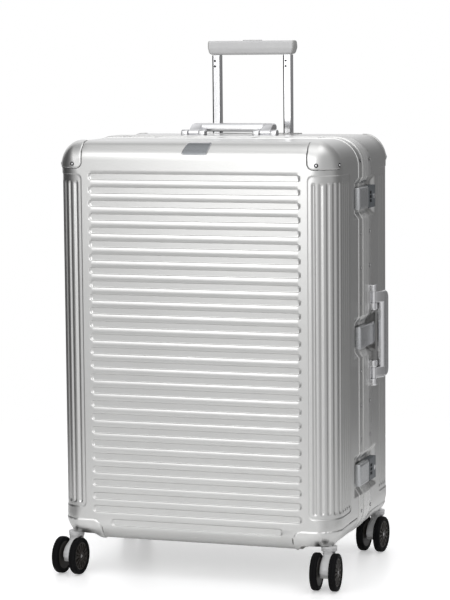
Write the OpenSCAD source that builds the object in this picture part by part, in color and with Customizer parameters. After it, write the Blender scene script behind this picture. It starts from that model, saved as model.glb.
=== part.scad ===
// Hard shell spinner suitcase with a riveted aluminium frame. Millimetres.
// +Z up, -Y is the front panel, +X is the side with the latches, the hinges are on -X.
// The origin is on the floor, under the middle of the bounding box.

/* [Case] */
// Width across the side faces
case_width = 512; // [460:540]
// Depth from the front panel to the back panel
case_depth = 376; // [300:400]
// Height of the top face above the floor
case_top = 770; // [700:800]
// Height of the bottom face above the floor
case_bottom = 64; // [60:70]
// Corner radius seen from the front
front_corner_r = 48; // [40:55]
// Radius of the upright corners
upright_corner_r = 46; // [40:55]
// Radius of the top and bottom edges
edge_r = 28; // [20:34]
// Thickness of the shell
wall = 2; // [1.6:0.1:3]

/* [Panel grooves] */
// Number of full length grooves on a panel
groove_count = 26; // [20:28]
// Distance from groove to groove
groove_pitch = 23.54; // [20:0.01:26]
// Height of one groove
groove_height = 12.4; // [8:0.1:14]
// Length of a full groove
groove_length = 387; // [350:400]
// Length of the lowest groove, between the corner castings
groove_last_length = 318; // [280:340]
// Depth of a groove
groove_depth = 1.2; // [0.8:0.1:1.5]
// Height of the first groove's centre line
groove_first_z = 708.5; // [700:0.1:715]

/* [Fluted corners] */
// Number of flutes round one upright corner
flute_count = 9; // [6:10]
// Distance from flute to flute along the surface
flute_pitch = 13; // [10:0.5:15]
// Radius of the cutter of one flute
flute_r = 6; // [4:0.5:8]
// Depth of one flute
flute_depth = 1; // [0.6:0.1:1.5]
// Upper end of the flutes
flute_top = 702; // [690:710]
// Lower end of the flutes
flute_bottom = 128; // [120:140]

/* [Frame rail] */
// Distance from the seam to the edge of the raised band
rail_half = 18.5; // [15:0.5:22]
// Height of the raised band over the shell
rail_proud = 3; // [2:0.5:4]
// Depth of the raised band below the shell's outer face
rail_inner = 4; // [3:0.5:5]
// Distance from the seam to the edge of the riveted flange
flange_half = 42; // [36:46]
// Thickness of the riveted flange
flange_thick = 1.2; // [1:0.1:1.5]
// Distance from the seam to the rivet line
rivet_line = 30; // [26:34]
// Half of the gap at the seam
seam_half = 0.4; // [0.3:0.1:0.6]

/* [Latches] */
// Heights of the lower lock, the centre latch and the upper lock
latch_z = [177, 421, 666];
// Depth of the recess under each latch
recess_depth = 8; // [6:10]
// Half height of the flat floor of a recess
recess_flat = 25; // [22:28]
// Half height of a recess where it meets the side face
recess_half = 37; // [32:40]
// Half length of a recess along the depth of the case
recess_length = 73; // [66:78]
// Height of a latch along Z
latch_height = 39; // [34:42]
// Height of a latch over the side face
latch_proud = 7; // [5:9]
// Front end of the lock levers
lever_front = -57; // [-60:-50]
// Front end of the centre latch lever
centre_front = -52; // [-58:-46]
// Rear end of the centre latch lever
centre_rear = 44; // [40:46]
// Rear end of the lock bodies
lock_rear = 48.5; // [44:52]
// Distance of a lever's pivot axis from the lever's end
pivot_inset = 5; // [4:0.5:6]
// Radius of a latch pivot pin
latch_pin_r = 1.5; // [1.2:0.1:2]
// Radius of a combination dial
dial_r = 6.2; // [5:0.1:6.5]
// Thickness of a combination dial
dial_thick = 5; // [4:0.5:6]
// Distance from dial to dial
dial_pitch = 7.4; // [7:0.1:8]
// Position of the dials behind the seam
dial_y = 16; // [12:20]

/* [Carry handles] */
// Length of a carry handle
handle_length = 156; // [140:170]
// Distance between the two mounts of a handle
handle_span = 136; // [120:150]
// Width of the grip bar
handle_width = 34; // [28:38]
// Thickness of the grip bar
handle_thick = 15; // [12:18]
// Gap under the folded grip bar
handle_gap = 8; // [7:12]
// Position of the handle's pivot axis behind the seam
handle_pivot_y = 33.5; // [32:35]
// Height of the handle's pivot axis over the case
handle_pivot_h = 7.2; // [7:0.1:8]
// Radius of a handle pin
handle_pin_r = 2.5; // [2:0.1:3]
// Sideways position of the top handle
top_handle_x = -5; // [-20:20]
// Height of the middle of the side handle
side_handle_z = 417; // [400:430]

/* [Trolley handle] */
// Distance between the two telescopic tubes
tube_span = 137.5; // [120:150]
// Position of the tubes behind the seam
tube_y = 157; // [150:160]
// Width and depth of an inner tube
inner_tube = [16, 14];
// Thickness of a tube wall
tube_wall = 1.4; // [1:0.1:1.6]
// Gap between telescoping tubes
tube_gap = 0.3; // [0.2:0.05:0.4]
// Length of the grip
grip_length = 166; // [150:175]
// Depth and height of the grip
grip_section = [28, 26];
// Height of the grip's lower face in the rest pose
grip_bottom = 916; // [880:930]
// Height of the tray floor that the tubes leave through
tray_floor = 742; // [735:750]
// Depth and half length of the tray round the stowed grip
tray_half = [17, 90];

/* [Casters] */
// Distance of the kingpins from the middle, across the case
caster_x = 235; // [220:240]
// Distance of the kingpins from the seam
caster_y = 163; // [150:166]
// Radius of a wheel
wheel_r = 32.75; // [30:0.25:33]
// Width of one wheel
wheel_width = 13; // [10:15]
// Gap between the two wheels of a caster
wheel_gap = 20; // [18:22]
// Distance of the axle in front of the kingpin
trail = 25.6; // [20:0.1:28]
// Radius of the round pocket above a caster
pocket_r = 53; // [50:56]
// Height of the pocket's ceiling
pocket_z = 74; // [72:78]
// Radius of the stem that a caster swivels on
stem_r = 3.5; // [3:0.5:5]
// Radius of the socket that holds the stem
boss_r = 8; // [7:9]

/* [Hinges] */
// Heights of the hinges
hinge_z = [177, 421, 666];
// Radius of a knuckle
knuckle_r = 3.2; // [3:0.1:3.4]
// Radius of a hinge pin
hinge_pin_r = 1.6; // [1.4:0.1:2]
// Half height of a hinge
hinge_half = 24; // [20:28]

/* [Hidden] */
$fn = 64;
mid_z = (case_top + case_bottom) / 2;
case_height = case_top - case_bottom;
side_x = case_width / 2;
panel_y = case_depth / 2;
floor_x = side_x - recess_depth;
latch_top_x = side_x + latch_proud;
hinge_x = -(side_x + rail_proud + knuckle_r + 0.3);
// Shift that puts the bounding box over the origin
shift = [-6.65, 16, 0];

silver = [0.80, 0.80, 0.79];
bright = [0.88, 0.88, 0.88];
dark = [0.08, 0.08, 0.09];
grey = [0.62, 0.62, 0.62];
cloth = [0.16, 0.17, 0.19];

// ---------- helpers ----------

// Rectangle with round corners, centred
module round_rect(w, h, r) {
    square([w - 2 * r, h], center = true);
    square([w, h - 2 * r], center = true);
    for (i = [-1, 1], j = [-1, 1]) translate([i * (w / 2 - r), j * (h / 2 - r)]) circle(r);
}

// Box given by its two corners
module box(a, b) translate(a) cube(b - a);

// Flat shape drawn in X and Z, extruded from y0 to y1
module extrude_y(y0, y1) translate([0, y1, 0]) rotate([90, 0, 0]) linear_extrude(y1 - y0) children();

// Flat shape drawn in Y and Z, extruded from x0 to x1
module extrude_x(x0, x1) translate([x0, 0, 0]) rotate([90, 0, 90]) linear_extrude(x1 - x0) children();

// The case as one solid, with every face moved inwards by i
module case_solid(i) {
    intersection() {
        translate([0, 0, mid_z]) extrude_y(-panel_y + i, panel_y - i)
            round_rect(case_width - 2 * i, case_height - 2 * i, front_corner_r - i);
        translate([0, 0, mid_z - case_height / 2 + i]) linear_extrude(case_height - 2 * i)
            round_rect(case_width - 2 * i, case_depth - 2 * i, upright_corner_r - i);
        translate([0, 0, mid_z]) extrude_x(-side_x + i, side_x - i)
            round_rect(case_depth - 2 * i, case_height - 2 * i, edge_r - i);
    }
}

// Outline of one dent in the side face, for a rail face o outside the case
module dent(z, o) {
    slope = (recess_half - recess_flat) / recess_depth;
    e = 6;
    polygon([[floor_x + o, z - recess_flat], [floor_x + o, z + recess_flat],
        [side_x + o + e, z + recess_half + e * slope], [side_x + o + e, z - recess_half - e * slope]]);
}

// Recess under one latch, grown inwards by i
module recess(z, i) {
    e = 6;
    slope = (recess_half - recess_flat) / recess_depth;
    intersection() {
        extrude_y(-recess_length - 12, recess_length + 12) dent(z, -i);
        translate([0, 0, z - 60]) linear_extrude(120)
            polygon([[floor_x - i, -recess_length + 12], [floor_x - i, recess_length - 12],
                [side_x + e, recess_length + e * slope + i], [side_x + e, -recess_length - e * slope - i]]);
    }
}

// The rail's outline, o outside the case, with the dents for the latches
module rail_outline(o) {
    difference() {
        translate([0, mid_z]) round_rect(case_width + 2 * o, case_height + 2 * o, front_corner_r + o);
        for (z = latch_z) dent(z, o);
    }
}

// Ring round the case between offsets a and b, from y0 to y1
module rail_ring(a, b, y0, y1) {
    extrude_y(y0, y1) difference() {
        rail_outline(b);
        rail_outline(a);
    }
}

// Pocket above a caster on side s, grown by g
module pocket(s, f, g) {
    translate([s * caster_x, f * caster_y, case_bottom - 6])
        cylinder(r1 = pocket_r + 4 + g, r2 = pocket_r - 5 + g, h = pocket_z - case_bottom + 6 + g);
}

// Point at length s along the outer face from the start of an upright corner, d inside it
function flute_at(s, d) =
    let(a = s / upright_corner_r * 180 / PI, r = upright_corner_r - d)
    a < 90 ? [side_x - upright_corner_r + r * sin(a), panel_y - upright_corner_r + r * cos(a)]
           : [side_x - d, panel_y - upright_corner_r - (s - upright_corner_r * PI / 2)];

// Inside of one half, i inside the outer face; f is -1 for the front half and 1 for the rear
module cavity(f, i) {
    g = i - wall;
    difference() {
        intersection() {
            case_solid(i);
            if (f < 0) box([-400, -300, 0], [400, 0, 900]);
            else box([-400, 0, 0], [400, 300, 900]);
        }
        for (z = latch_z) recess(z, i);
        for (s = [-1, 1]) {
            pocket(s, f, 3 + g);
            translate([s * caster_x, f * caster_y, case_bottom]) cylinder(r = 12 + g, h = 28 + g);
        }
        if (f > 0) {
            if (g > 0) for (s = [-1, 1])
                box([s * tube_span / 2 - 14 - g, tube_y - 13 - g, 300],
                    [s * tube_span / 2 + 14 + g, panel_y, case_top]);
            box([-tray_half[1] - 1 - g, tube_y - tray_half[0] - 1 - g, tray_floor - 4 - g],
                [tray_half[1] + 1 + g, panel_y + 5, case_top + 5]);
        }
    }
}

// ---------- shells ----------

module half_shell(f) {
    y_edge = rail_half + 0.1;
    difference() {
        intersection() {
            case_solid(0);
            if (f < 0) box([-400, -300, 0], [400, -y_edge, 900]);
            else box([-400, y_edge, 0], [400, 300, 900]);
        }
        intersection() {
            case_solid(wall);
            if (f < 0) box([-400, -300, 0], [400, 0, 900]);
            else box([-400, 0, 0], [400, 300, 900]);
        }
        for (s = [-1, 1]) {
            pocket(s, f, 3);
            translate([s * caster_x, f * caster_y, pocket_z]) cylinder(r = boss_r, h = 14);
        }
        panel_grooves(f);
        corner_flutes(f);
        for (z = latch_z) recess(z, 0);
        if (f > 0) box([-tray_half[1], tube_y - tray_half[0], tray_floor - 3],
            [tray_half[1], tube_y + tray_half[0], case_top + 5]);
    }
    // Floors of the latch recesses
    for (z = latch_z) difference() {
        intersection() {
            recess(z, wall);
            case_solid(0);
            if (f < 0) box([0, -300, 0], [400, -y_edge, 900]);
            else box([0, y_edge, 0], [400, 300, 900]);
        }
        recess(z, 0);
    }
}

module groove(f, z, length) {
    extrude_y(f < 0 ? -panel_y - 1 : panel_y - groove_depth, f < 0 ? -panel_y + groove_depth : panel_y + 1) {
        translate([-length / 2 + groove_height / 2, z - groove_height / 2])
            square([length - groove_height, groove_height]);
        for (s = [-1, 1]) translate([s * (length - groove_height) / 2, z]) circle(groove_height / 2);
    }
}

module panel_grooves(f) {
    for (k = [0 : groove_count - 1]) groove(f, groove_first_z - k * groove_pitch, groove_length);
    groove(f, groove_first_z - groove_count * groove_pitch, groove_last_length);
}

module corner_flutes(f) {
    for (k = [0 : flute_count - 1], s = [-1, 1]) {
        p = flute_at((k + 0.5) * flute_pitch, flute_depth - flute_r);
        translate([s * p[0], f * p[1], flute_bottom]) cylinder(r = flute_r, h = flute_top - flute_bottom);
    }
}

module front_shell() color(silver) half_shell(-1);
module rear_shell() color(silver) half_shell(1);

module half_rail(f) {
    a = f < 0 ? -rail_half : seam_half;
    b = f < 0 ? -seam_half : rail_half;
    rail_ring(-rail_inner, rail_proud, a, b);
    if (f < 0) rail_ring(0, flange_thick, -flange_half, -rail_half);
    else rail_ring(0, flange_thick, rail_half, flange_half);
}

module front_frame_rail() color(bright) half_rail(-1);
module rear_frame_rail() color(bright) half_rail(1);

// Sheet guards over the two top corners of one half
module top_guards(f) {
    intersection() {
        difference() {
            case_solid(-1.5);
            case_solid(0);
        }
        for (s = [-1, 1]) {
            x = s * (f < 0 ? 206 : side_x - upright_corner_r + 0.5);
            box([min(x, s * 300), f < 0 ? -300 : 150, 724], [max(x, s * 300), f < 0 ? -150 : 300, 900]);
        }
    }
}

module front_top_guards() color(silver) top_guards(-1);
module rear_top_guards() color(silver) top_guards(1);

// Cast bottom corners of one half, each with the socket of a caster
module bottom_castings(f) {
    z1 = f < 0 ? 100 : case_bottom + edge_r - 0.5;
    y0 = f < 0 ? -300 : flange_half + 2;
    y1 = f < 0 ? -flange_half - 2 : 300;
    difference() {
        union() {
            intersection() {
                difference() {
                    case_solid(-2);
                    case_solid(0);
                }
                for (s = [-1, 1])
                    box([min(s * 178, s * 300), y0, 0], [max(s * 178, s * 300), y1, z1]);
            }
            intersection() {
                case_solid(0);
                for (s = [-1, 1]) pocket(s, f, 3);
            }
            intersection() {
                case_solid(0);
                for (s = [-1, 1]) translate([s * caster_x, f * caster_y, pocket_z + 2])
                    cylinder(r = boss_r, h = 12);
            }
        }
        for (s = [-1, 1]) {
            pocket(s, f, 0);
            translate([s * caster_x, f * caster_y, 50]) cylinder(r = stem_r + 0.06, h = 60);
        }
    }
}

module front_bottom_castings() color(silver) bottom_castings(-1);
module rear_bottom_castings() color(silver) bottom_castings(1);

// Rivet head on the face at height h along the given direction
module rivet_x(s, y, z) translate([s * (side_x + flange_thick), y, z]) rotate([0, s * 90, 0]) rivet();
module rivet_z(s, x, y) translate([x, y, s > 0 ? case_top + flange_thick : case_bottom - flange_thick])
    rotate([s > 0 ? 0 : 180, 0, 0]) rivet();
module rivet() cylinder(r = 2.6, h = 1.3);

module half_rivets(f) {
    y = f * rivet_line;
    for (dz = [-311, -183, -122, -61, 61, 122, 183, 311]) {
        if (f < 0 || abs(dz) != 61) rivet_x(1, y, latch_z[1] + dz);
        rivet_x(-1, y, latch_z[1] + dz);
    }
    for (k = [-3 : 3]) {
        if (f < 0 || abs(k) != 1) rivet_z(1, k * 61, y);
        rivet_z(-1, k * 61, y);
    }
    // Heads that hold the top guards
    for (s = [-1, 1]) {
        translate([s * 214, f * (panel_y + 1.5), 732]) rotate([f < 0 ? 90 : -90, 0, 0]) rivet();
        translate([s * (side_x + 1.5), f * 156, 732]) rotate([0, s * 90, 0]) rivet();
    }
}

module front_rivets() color(bright) half_rivets(-1);
module rear_rivets() color(bright) half_rivets(1);

// ---------- hinges ----------

module hinge_leaf(f, z) {
    x0 = -(side_x + rail_proud);
    y0 = f * (knuckle_r + 0.6);
    y1 = f * 36;
    yr = f * (rail_half + 0.1);
    difference() {
        union() {
            box([x0 - 1.6, min(y0, y1), z - hinge_half], [x0 - 0.05, max(y0, y1), z + hinge_half]);
            box([x0 - 0.5, min(yr, y1), z - hinge_half],
                [-side_x - flange_thick, max(yr, y1), z + hinge_half]);
            for (k = f < 0 ? [0] : [-1, 1]) {
                z0 = k == 0 ? -7.8 : k > 0 ? 8.2 : -hinge_half;
                z1 = k == 0 ? 7.8 : k > 0 ? hinge_half : -8.2;
                translate([hinge_x, 0, z + z0]) cylinder(r = knuckle_r, h = z1 - z0);
                box([x0 - 1.6, min(0, y0), z + z0], [x0 - 0.4, max(0, y0), z + z1]);
            }
        }
        translate([hinge_x, 0, z - 40]) cylinder(r = f < 0 ? hinge_pin_r + 0.06 : hinge_pin_r, h = 80);
    }
}

module hinge_leaves_front() color(silver) for (z = hinge_z) hinge_leaf(-1, z);
module hinge_leaves_rear() color(silver) for (z = hinge_z) hinge_leaf(1, z);
module hinge_pins() color(bright) for (z = hinge_z)
    translate([hinge_x, 0, z - hinge_half]) cylinder(r = hinge_pin_r, h = 2 * hinge_half);

// ---------- badge and linings ----------

// Blank badge, a leaning plate on the rounded front top edge
module badge_plate() color(grey) intersection() {
    difference() {
        case_solid(-1.6);
        case_solid(0);
    }
    extrude_y(-panel_y - 5, -165) polygon([[-21, 747], [25.5, 747], [33, 768], [-12.5, 768]]);
}

module lining(f) {
    difference() {
        cavity(f, wall + 0.3);
        cavity(f, wall + 1.5);
        box([-400, -rail_half - 0.6, 0], [400, rail_half + 0.6, 900]);
    }
}

module front_lining() color(cloth) lining(-1);
module rear_lining() color(cloth) lining(1);

// Two straps across the rear half, with a buckle
module packing_straps() color(dark) {
    for (s = [-1, 1]) {
        translate([0, 139.5, mid_z]) rotate([0, s * 32, 0]) cube([26, 1.4, 540], center = true);
    }
    box([-28, 134, mid_z - 20], [28, 138.8, mid_z + 20]);
}

// ---------- latches ----------

// Hollow cover of a lever from y0 to y1, at height z
module lever_cover(y0, y1, z) {
    h = latch_height / 2;
    difference() {
        box([floor_x + 4.5, y0, z - h], [latch_top_x, y1, z + h]);
        box([floor_x, y0 + 1.7, z - h + 1.8], [latch_top_x - 2.6, y1 - 1.7, z + h - 1.8]);
        // Bevels along the front and rear edges
        for (e = [[y0, 1], [y1, -1]]) translate([0, 0, z - 30]) linear_extrude(60)
            polygon([[latch_top_x - 2.4, e[0] - e[1]], [latch_top_x + 1, e[0] - e[1]],
                [latch_top_x + 1, e[0] + 2.2 * e[1]], [latch_top_x, e[0] + 2.2 * e[1]],
                [latch_top_x - 2.4, e[0]]]);
    }
}

// Barrel of a lever round its pivot at y
module lever_barrel(y, z) {
    px = latch_top_x - 6;
    difference() {
        union() {
            translate([px, y, z - 6]) cylinder(r = 2.8, h = 12);
            box([px, y - 2.8, z - 6], [latch_top_x - 2.5, y + 2.8, z + 6]);
        }
        translate([px, y, z - 7]) cylinder(r = latch_pin_r + 0.06, h = 14);
    }
}

// Two hooked ears on a foot that stands on the surface at x0. e is 1 when the lever reaches to +Y of
// its pivot. The hooks come from that side, so the end wall of the lever swings under the pin freely.
module lever_ears(y, z, x0, yb, e) {
    px = latch_top_x - 6;
    ya = y + e * 3.4;
    difference() {
        union() {
            box([x0, min(ya, yb), z - 16], [x0 + 1.6, max(ya, yb), z + 16]);
            for (s = [-1, 1]) {
                z0 = s > 0 ? z + 6.4 : z - 10.4;
                translate([px, y, z0]) cylinder(r = 2.8, h = 4);
                translate([0, 0, z0]) linear_extrude(4) polygon([[x0, y + e * 5.4], [px - 2.7, y + e * 5.4],
                    [px - 2.8, y], [px + 2.8, y], [px, y + e * 9], [x0, y + e * 9]]);
            }
        }
        translate([px, y, z - 12]) cylinder(r = latch_pin_r, h = 24);
    }
}

module lever_pin(y, z) translate([latch_top_x - 6, y, z - 10.4]) cylinder(r = latch_pin_r, h = 20.8);

module lock_lever(z) {
    lever_cover(lever_front, 2, z);
    lever_barrel(lever_front + pivot_inset, z);
}

module upper_latch_lever() color(dark) lock_lever(latch_z[2]);
module lower_latch_lever() color(dark) lock_lever(latch_z[0]);
module centre_latch_lever() color(grey) {
    lever_cover(centre_front, centre_rear, latch_z[1]);
    lever_barrel(centre_rear - pivot_inset, latch_z[1]);
}

module latch_bases() color(grey) for (z = [latch_z[0], latch_z[2]])
    lever_ears(lever_front + pivot_inset, z, floor_x, -flange_half - 0.8, 1);
module latch_pins() color(bright) for (z = [latch_z[0], latch_z[2]])
    lever_pin(lever_front + pivot_inset, z);
module centre_latch_base() color(grey)
    lever_ears(centre_rear - pivot_inset, latch_z[1], floor_x + flange_thick, rail_half + 1, -1);
module centre_latch_pin() color(bright) lever_pin(centre_rear - pivot_inset, latch_z[1]);

// Low striker on the front rail, under the centre latch
module centre_latch_catch() color(grey)
    box([floor_x + flange_thick, -40, latch_z[1] - 12], [floor_x + 3.6, -rail_half - 1, latch_z[1] + 12]);

// Lock bodies with a slot for each dial and a bore for the key cylinder
module lock_bodies() color(dark) for (z = [latch_z[0], latch_z[2]]) {
    h = latch_height / 2;
    difference() {
        box([floor_x + rail_proud + 0.05, 3, z - h], [latch_top_x, lock_rear, z + h]);
        for (k = [-1, 0, 1])
            box([floor_x, dial_y - dial_r - 0.4, z + k * dial_pitch - dial_thick / 2 - 0.4],
                [latch_top_x + 1, dial_y + dial_r + 0.4, z + k * dial_pitch + dial_thick / 2 + 0.4]);
        translate([latch_top_x - 8, 37, z]) rotate([0, 90, 0]) cylinder(r = 4.5, h = 10);
        translate([0, 0, z - 30]) linear_extrude(60)
            polygon([[latch_top_x - 2.4, lock_rear + 1], [latch_top_x + 1, lock_rear + 1],
                [latch_top_x + 1, lock_rear - 2.2], [latch_top_x, lock_rear - 2.2],
                [latch_top_x - 2.4, lock_rear]]);
    }
    // Shaft that the dials turn on
    translate([latch_top_x - dial_r + 0.8, dial_y, z - h + 1]) cylinder(r = 1.5, h = latch_height - 2);
}

module lock_key_cylinders() color(bright) for (z = [latch_z[0], latch_z[2]]) difference() {
    translate([latch_top_x - 8, 37, z]) rotate([0, 90, 0]) cylinder(r = 4.5, h = 8.8);
    box([latch_top_x - 1, 36.4, z - 2.6], [latch_top_x + 2, 37.6, z + 2.6]);
}

module dial(z, k) color(dark) difference() {
    translate([latch_top_x - dial_r + 0.8, dial_y, z + k * dial_pitch - dial_thick / 2])
        cylinder(r = dial_r, h = dial_thick);
    translate([latch_top_x - dial_r + 0.8, dial_y, z + k * dial_pitch - dial_thick / 2 - 1])
        cylinder(r = 1.56, h = dial_thick + 2);
}

module upper_dial_1() dial(latch_z[2], 1);
module upper_dial_2() dial(latch_z[2], 0);
module upper_dial_3() dial(latch_z[2], -1);
module lower_dial_1() dial(latch_z[0], 1);
module lower_dial_2() dial(latch_z[0], 0);
module lower_dial_3() dial(latch_z[0], -1);

// ---------- carry handles ----------
// Drawn lying on the plane Z = 0, with the pivot axis along X

module handle_mount(u) {
    v0 = handle_pivot_y - 8.5;
    difference() {
        extrude_x(u - 23, u + 23) polygon([[v0, flange_thick], [v0 + 17, flange_thick],
            [v0 + 17, 9], [v0 + 13, 12.6], [v0 + 4, 12.6], [v0, 9]]);
        box([u - 10, v0 - 1, 2.3], [u + 10, v0 + 18, 20]);
        translate([u - 25, handle_pivot_y, handle_pivot_h]) rotate([0, 90, 0])
            cylinder(r = handle_pin_r, h = 50);
    }
}

module handle_mounts() for (s = [-1, 1]) handle_mount(s * handle_span / 2);

module handle_pins() for (s = [-1, 1])
    translate([s * handle_span / 2 - 22, handle_pivot_y, handle_pivot_h]) rotate([0, 90, 0])
        cylinder(r = handle_pin_r, h = 44);

module handle_bail() {
    v1 = handle_pivot_y + 14.5;
    difference() {
        union() {
            translate([0, v1 + handle_width / 2, handle_gap + handle_thick / 2])
                extrude_x(-handle_length / 2, handle_length / 2) round_rect(handle_width, handle_thick, 5.5);
            for (s = [-1, 1]) {
                u = s * handle_span / 2;
                extrude_x(u - 9.7, u + 9.7) polygon([[handle_pivot_y, handle_pivot_h - 4.5],
                    [v1 + 8, handle_gap + 0.5], [v1 + 8, handle_gap + handle_thick - 1],
                    [v1, handle_gap + handle_thick - 2.5], [handle_pivot_y, handle_pivot_h + 4.5]]);
                translate([u - 9.7, handle_pivot_y, handle_pivot_h]) rotate([0, 90, 0])
                    cylinder(r = 4.6, h = 19.4);
            }
        }
        for (s = [-1, 1]) translate([s * handle_span / 2 - 25, handle_pivot_y, handle_pivot_h])
            rotate([0, 90, 0]) cylinder(r = handle_pin_r + 0.06, h = 50);
    }
}

module on_top() translate([top_handle_x, 0, case_top]) children();
module on_side() translate([side_x, 0, side_handle_z]) rotate([0, 90, 0]) children();

module carry_handle_mounts() color(silver) {
    on_top() handle_mounts();
    on_side() handle_mounts();
}
module carry_handle_pins() color(bright) {
    on_top() handle_pins();
    on_side() handle_pins();
}
module top_carry_handle() color(grey) on_top() handle_bail();
module side_carry_handle() color(grey) on_side() handle_bail();

// ---------- trolley handle ----------

// Two box tubes of outer size w by d, from z0 to z1
module tube_pair(w, d, z0, z1) for (s = [-1, 1]) translate([s * tube_span / 2, tube_y, z0]) difference() {
    linear_extrude(z1 - z0) round_rect(w, d, 2.5);
    translate([0, 0, -1]) linear_extrude(z1 - z0 + 2) round_rect(w - 2 * tube_wall, d - 2 * tube_wall, 1.2);
}

step = 2 * (tube_wall + tube_gap);
middle_tube = [inner_tube[0] + step, inner_tube[1] + step];
sleeve_tube = [middle_tube[0] + step, middle_tube[1] + step];

module trolley_inner_tubes() color(grey) tube_pair(inner_tube[0], inner_tube[1], 560, grip_bottom);
module trolley_middle_tubes() color(grey) tube_pair(middle_tube[0], middle_tube[1], 380, tray_floor + 2);
module trolley_sleeves() color(grey) tube_pair(sleeve_tube[0], sleeve_tube[1], 330, tray_floor);

// Tray in the top of the case, with the holes that the tubes leave through
module trolley_bezel() color(dark) difference() {
    box([-tray_half[1] + 0.05, tube_y - tray_half[0] + 0.05, tray_floor],
        [tray_half[1] - 0.05, tube_y + tray_half[0] - 0.05, case_top + 1.5]);
    box([-tray_half[1] + 2.2, tube_y - tray_half[0] + 2.2, tray_floor + 3],
        [tray_half[1] - 2.2, tube_y + tray_half[0] - 2.2, case_top + 5]);
    for (s = [-1, 1]) translate([s * tube_span / 2, tube_y, tray_floor - 1]) linear_extrude(9)
        round_rect(middle_tube[0] + 0.7, middle_tube[1] + 0.7, 2.8);
}

module trolley_grip() color(grey) difference() {
    translate([0, tube_y, grip_bottom + grip_section[1] / 2])
        extrude_x(-grip_length / 2, grip_length / 2) round_rect(grip_section[0], grip_section[1], 9);
    box([-18, tube_y - 6, grip_bottom + grip_section[1] - 6], [18, tube_y + 6, grip_bottom + 60]);
}

module trolley_button() color(dark)
    box([-17.6, tube_y - 5.6, grip_bottom + grip_section[1] - 2.5],
        [17.6, tube_y + 5.6, grip_bottom + grip_section[1] + 1.5]);

// ---------- casters ----------

axle_z = wheel_r;

module caster_at(s, f, yaw) translate([s * caster_x, f * caster_y, 0]) rotate([0, 0, yaw]) children();

module fork() color(grey) {
    difference() {
        union() {
            translate([0, 0, 67]) cylinder(r = 14, h = pocket_z - 1 - 67);
            translate([0, 0, 67]) cylinder(r = stem_r, h = pocket_z + 12 - 67);
            translate([0, 0, 50]) cylinder(r = 9, h = 17.5);
            extrude_x(-7, 7) polygon([[8, 66], [8, 52], [2, 40], [-12, 28], [-trail, axle_z - 7.5],
                [-trail - 6, axle_z + 4], [-trail + 2, axle_z + 18], [-8, 60], [-8, 66]]);
            translate([-9.4, -trail, axle_z]) rotate([0, 90, 0]) cylinder(r = 9, h = 18.8);
        }
        translate([-20, -trail, axle_z]) rotate([0, 90, 0]) cylinder(r = 3, h = 40);
    }
}

module axle() color(bright) {
    l = wheel_gap + 2 * wheel_width - 3;
    translate([-l / 2, -trail, axle_z]) rotate([0, 90, 0]) cylinder(r = 3, h = l);
}

// Wheel with its tread, on side s of the fork
module wheel(s) color(dark) {
    x0 = s > 0 ? wheel_gap / 2 : -wheel_gap / 2 - wheel_width;
    translate([x0, -trail, axle_z]) rotate([90, 0, 90]) rotate_extrude() difference() {
        union() {
            translate([3.06, 0]) square([wheel_r - 3.06 - 3, wheel_width]);
            translate([3.06, 3]) square([wheel_r - 3.06, wheel_width - 6]);
            for (y = [3, wheel_width - 3]) translate([wheel_r - 3, y]) circle(3);
        }
        // Dished face, inside the rim
        translate([10, s > 0 ? wheel_width - 2.5 : -1]) square([14, 3.5]);
    }
}

yaw_front_left = -4;
yaw_front_right = 3;
yaw_rear_left = 2;
yaw_rear_right = -4;

module front_left_fork() caster_at(-1, -1, yaw_front_left) fork();
module front_left_axle() caster_at(-1, -1, yaw_front_left) axle();
module front_left_wheel_outer() caster_at(-1, -1, yaw_front_left) wheel(-1);
module front_left_wheel_inner() caster_at(-1, -1, yaw_front_left) wheel(1);
module front_right_fork() caster_at(1, -1, yaw_front_right) fork();
module front_right_axle() caster_at(1, -1, yaw_front_right) axle();
module front_right_wheel_inner() caster_at(1, -1, yaw_front_right) wheel(-1);
module front_right_wheel_outer() caster_at(1, -1, yaw_front_right) wheel(1);
module rear_left_fork() caster_at(-1, 1, yaw_rear_left) fork();
module rear_left_axle() caster_at(-1, 1, yaw_rear_left) axle();
module rear_left_wheel_outer() caster_at(-1, 1, yaw_rear_left) wheel(-1);
module rear_left_wheel_inner() caster_at(-1, 1, yaw_rear_left) wheel(1);
module rear_right_fork() caster_at(1, 1, yaw_rear_right) fork();
module rear_right_axle() caster_at(1, 1, yaw_rear_right) axle();
module rear_right_wheel_inner() caster_at(1, 1, yaw_rear_right) wheel(-1);
module rear_right_wheel_outer() caster_at(1, 1, yaw_rear_right) wheel(1);

// ---------- one line per node ----------

module place() translate(shift) children();

place() rear_shell();
place() rear_frame_rail();
place() rear_top_guards();
place() rear_bottom_castings();
place() rear_rivets();
place() hinge_leaves_rear();
place() hinge_pins();
place() trolley_sleeves();
place() trolley_bezel();
place() carry_handle_mounts();
place() carry_handle_pins();
place() lock_bodies();
place() lock_key_cylinders();
place() centre_latch_base();
place() centre_latch_pin();
place() rear_lining();
place() packing_straps();
place() front_shell();
place() front_frame_rail();
place() front_top_guards();
place() front_bottom_castings();
place() front_rivets();
place() hinge_leaves_front();
place() badge_plate();
place() latch_bases();
place() latch_pins();
place() centre_latch_catch();
place() front_lining();
place() trolley_middle_tubes();
place() trolley_inner_tubes();
place() trolley_grip();
place() trolley_button();
place() top_carry_handle();
place() side_carry_handle();
place() upper_latch_lever();
place() lower_latch_lever();
place() centre_latch_lever();
place() upper_dial_1();
place() upper_dial_2();
place() upper_dial_3();
place() lower_dial_1();
place() lower_dial_2();
place() lower_dial_3();
place() front_left_fork();
place() front_left_axle();
place() front_left_wheel_outer();
place() front_left_wheel_inner();
place() front_right_fork();
place() front_right_axle();
place() front_right_wheel_inner();
place() front_right_wheel_outer();
place() rear_left_fork();
place() rear_left_axle();
place() rear_left_wheel_outer();
place() rear_left_wheel_inner();
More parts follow.
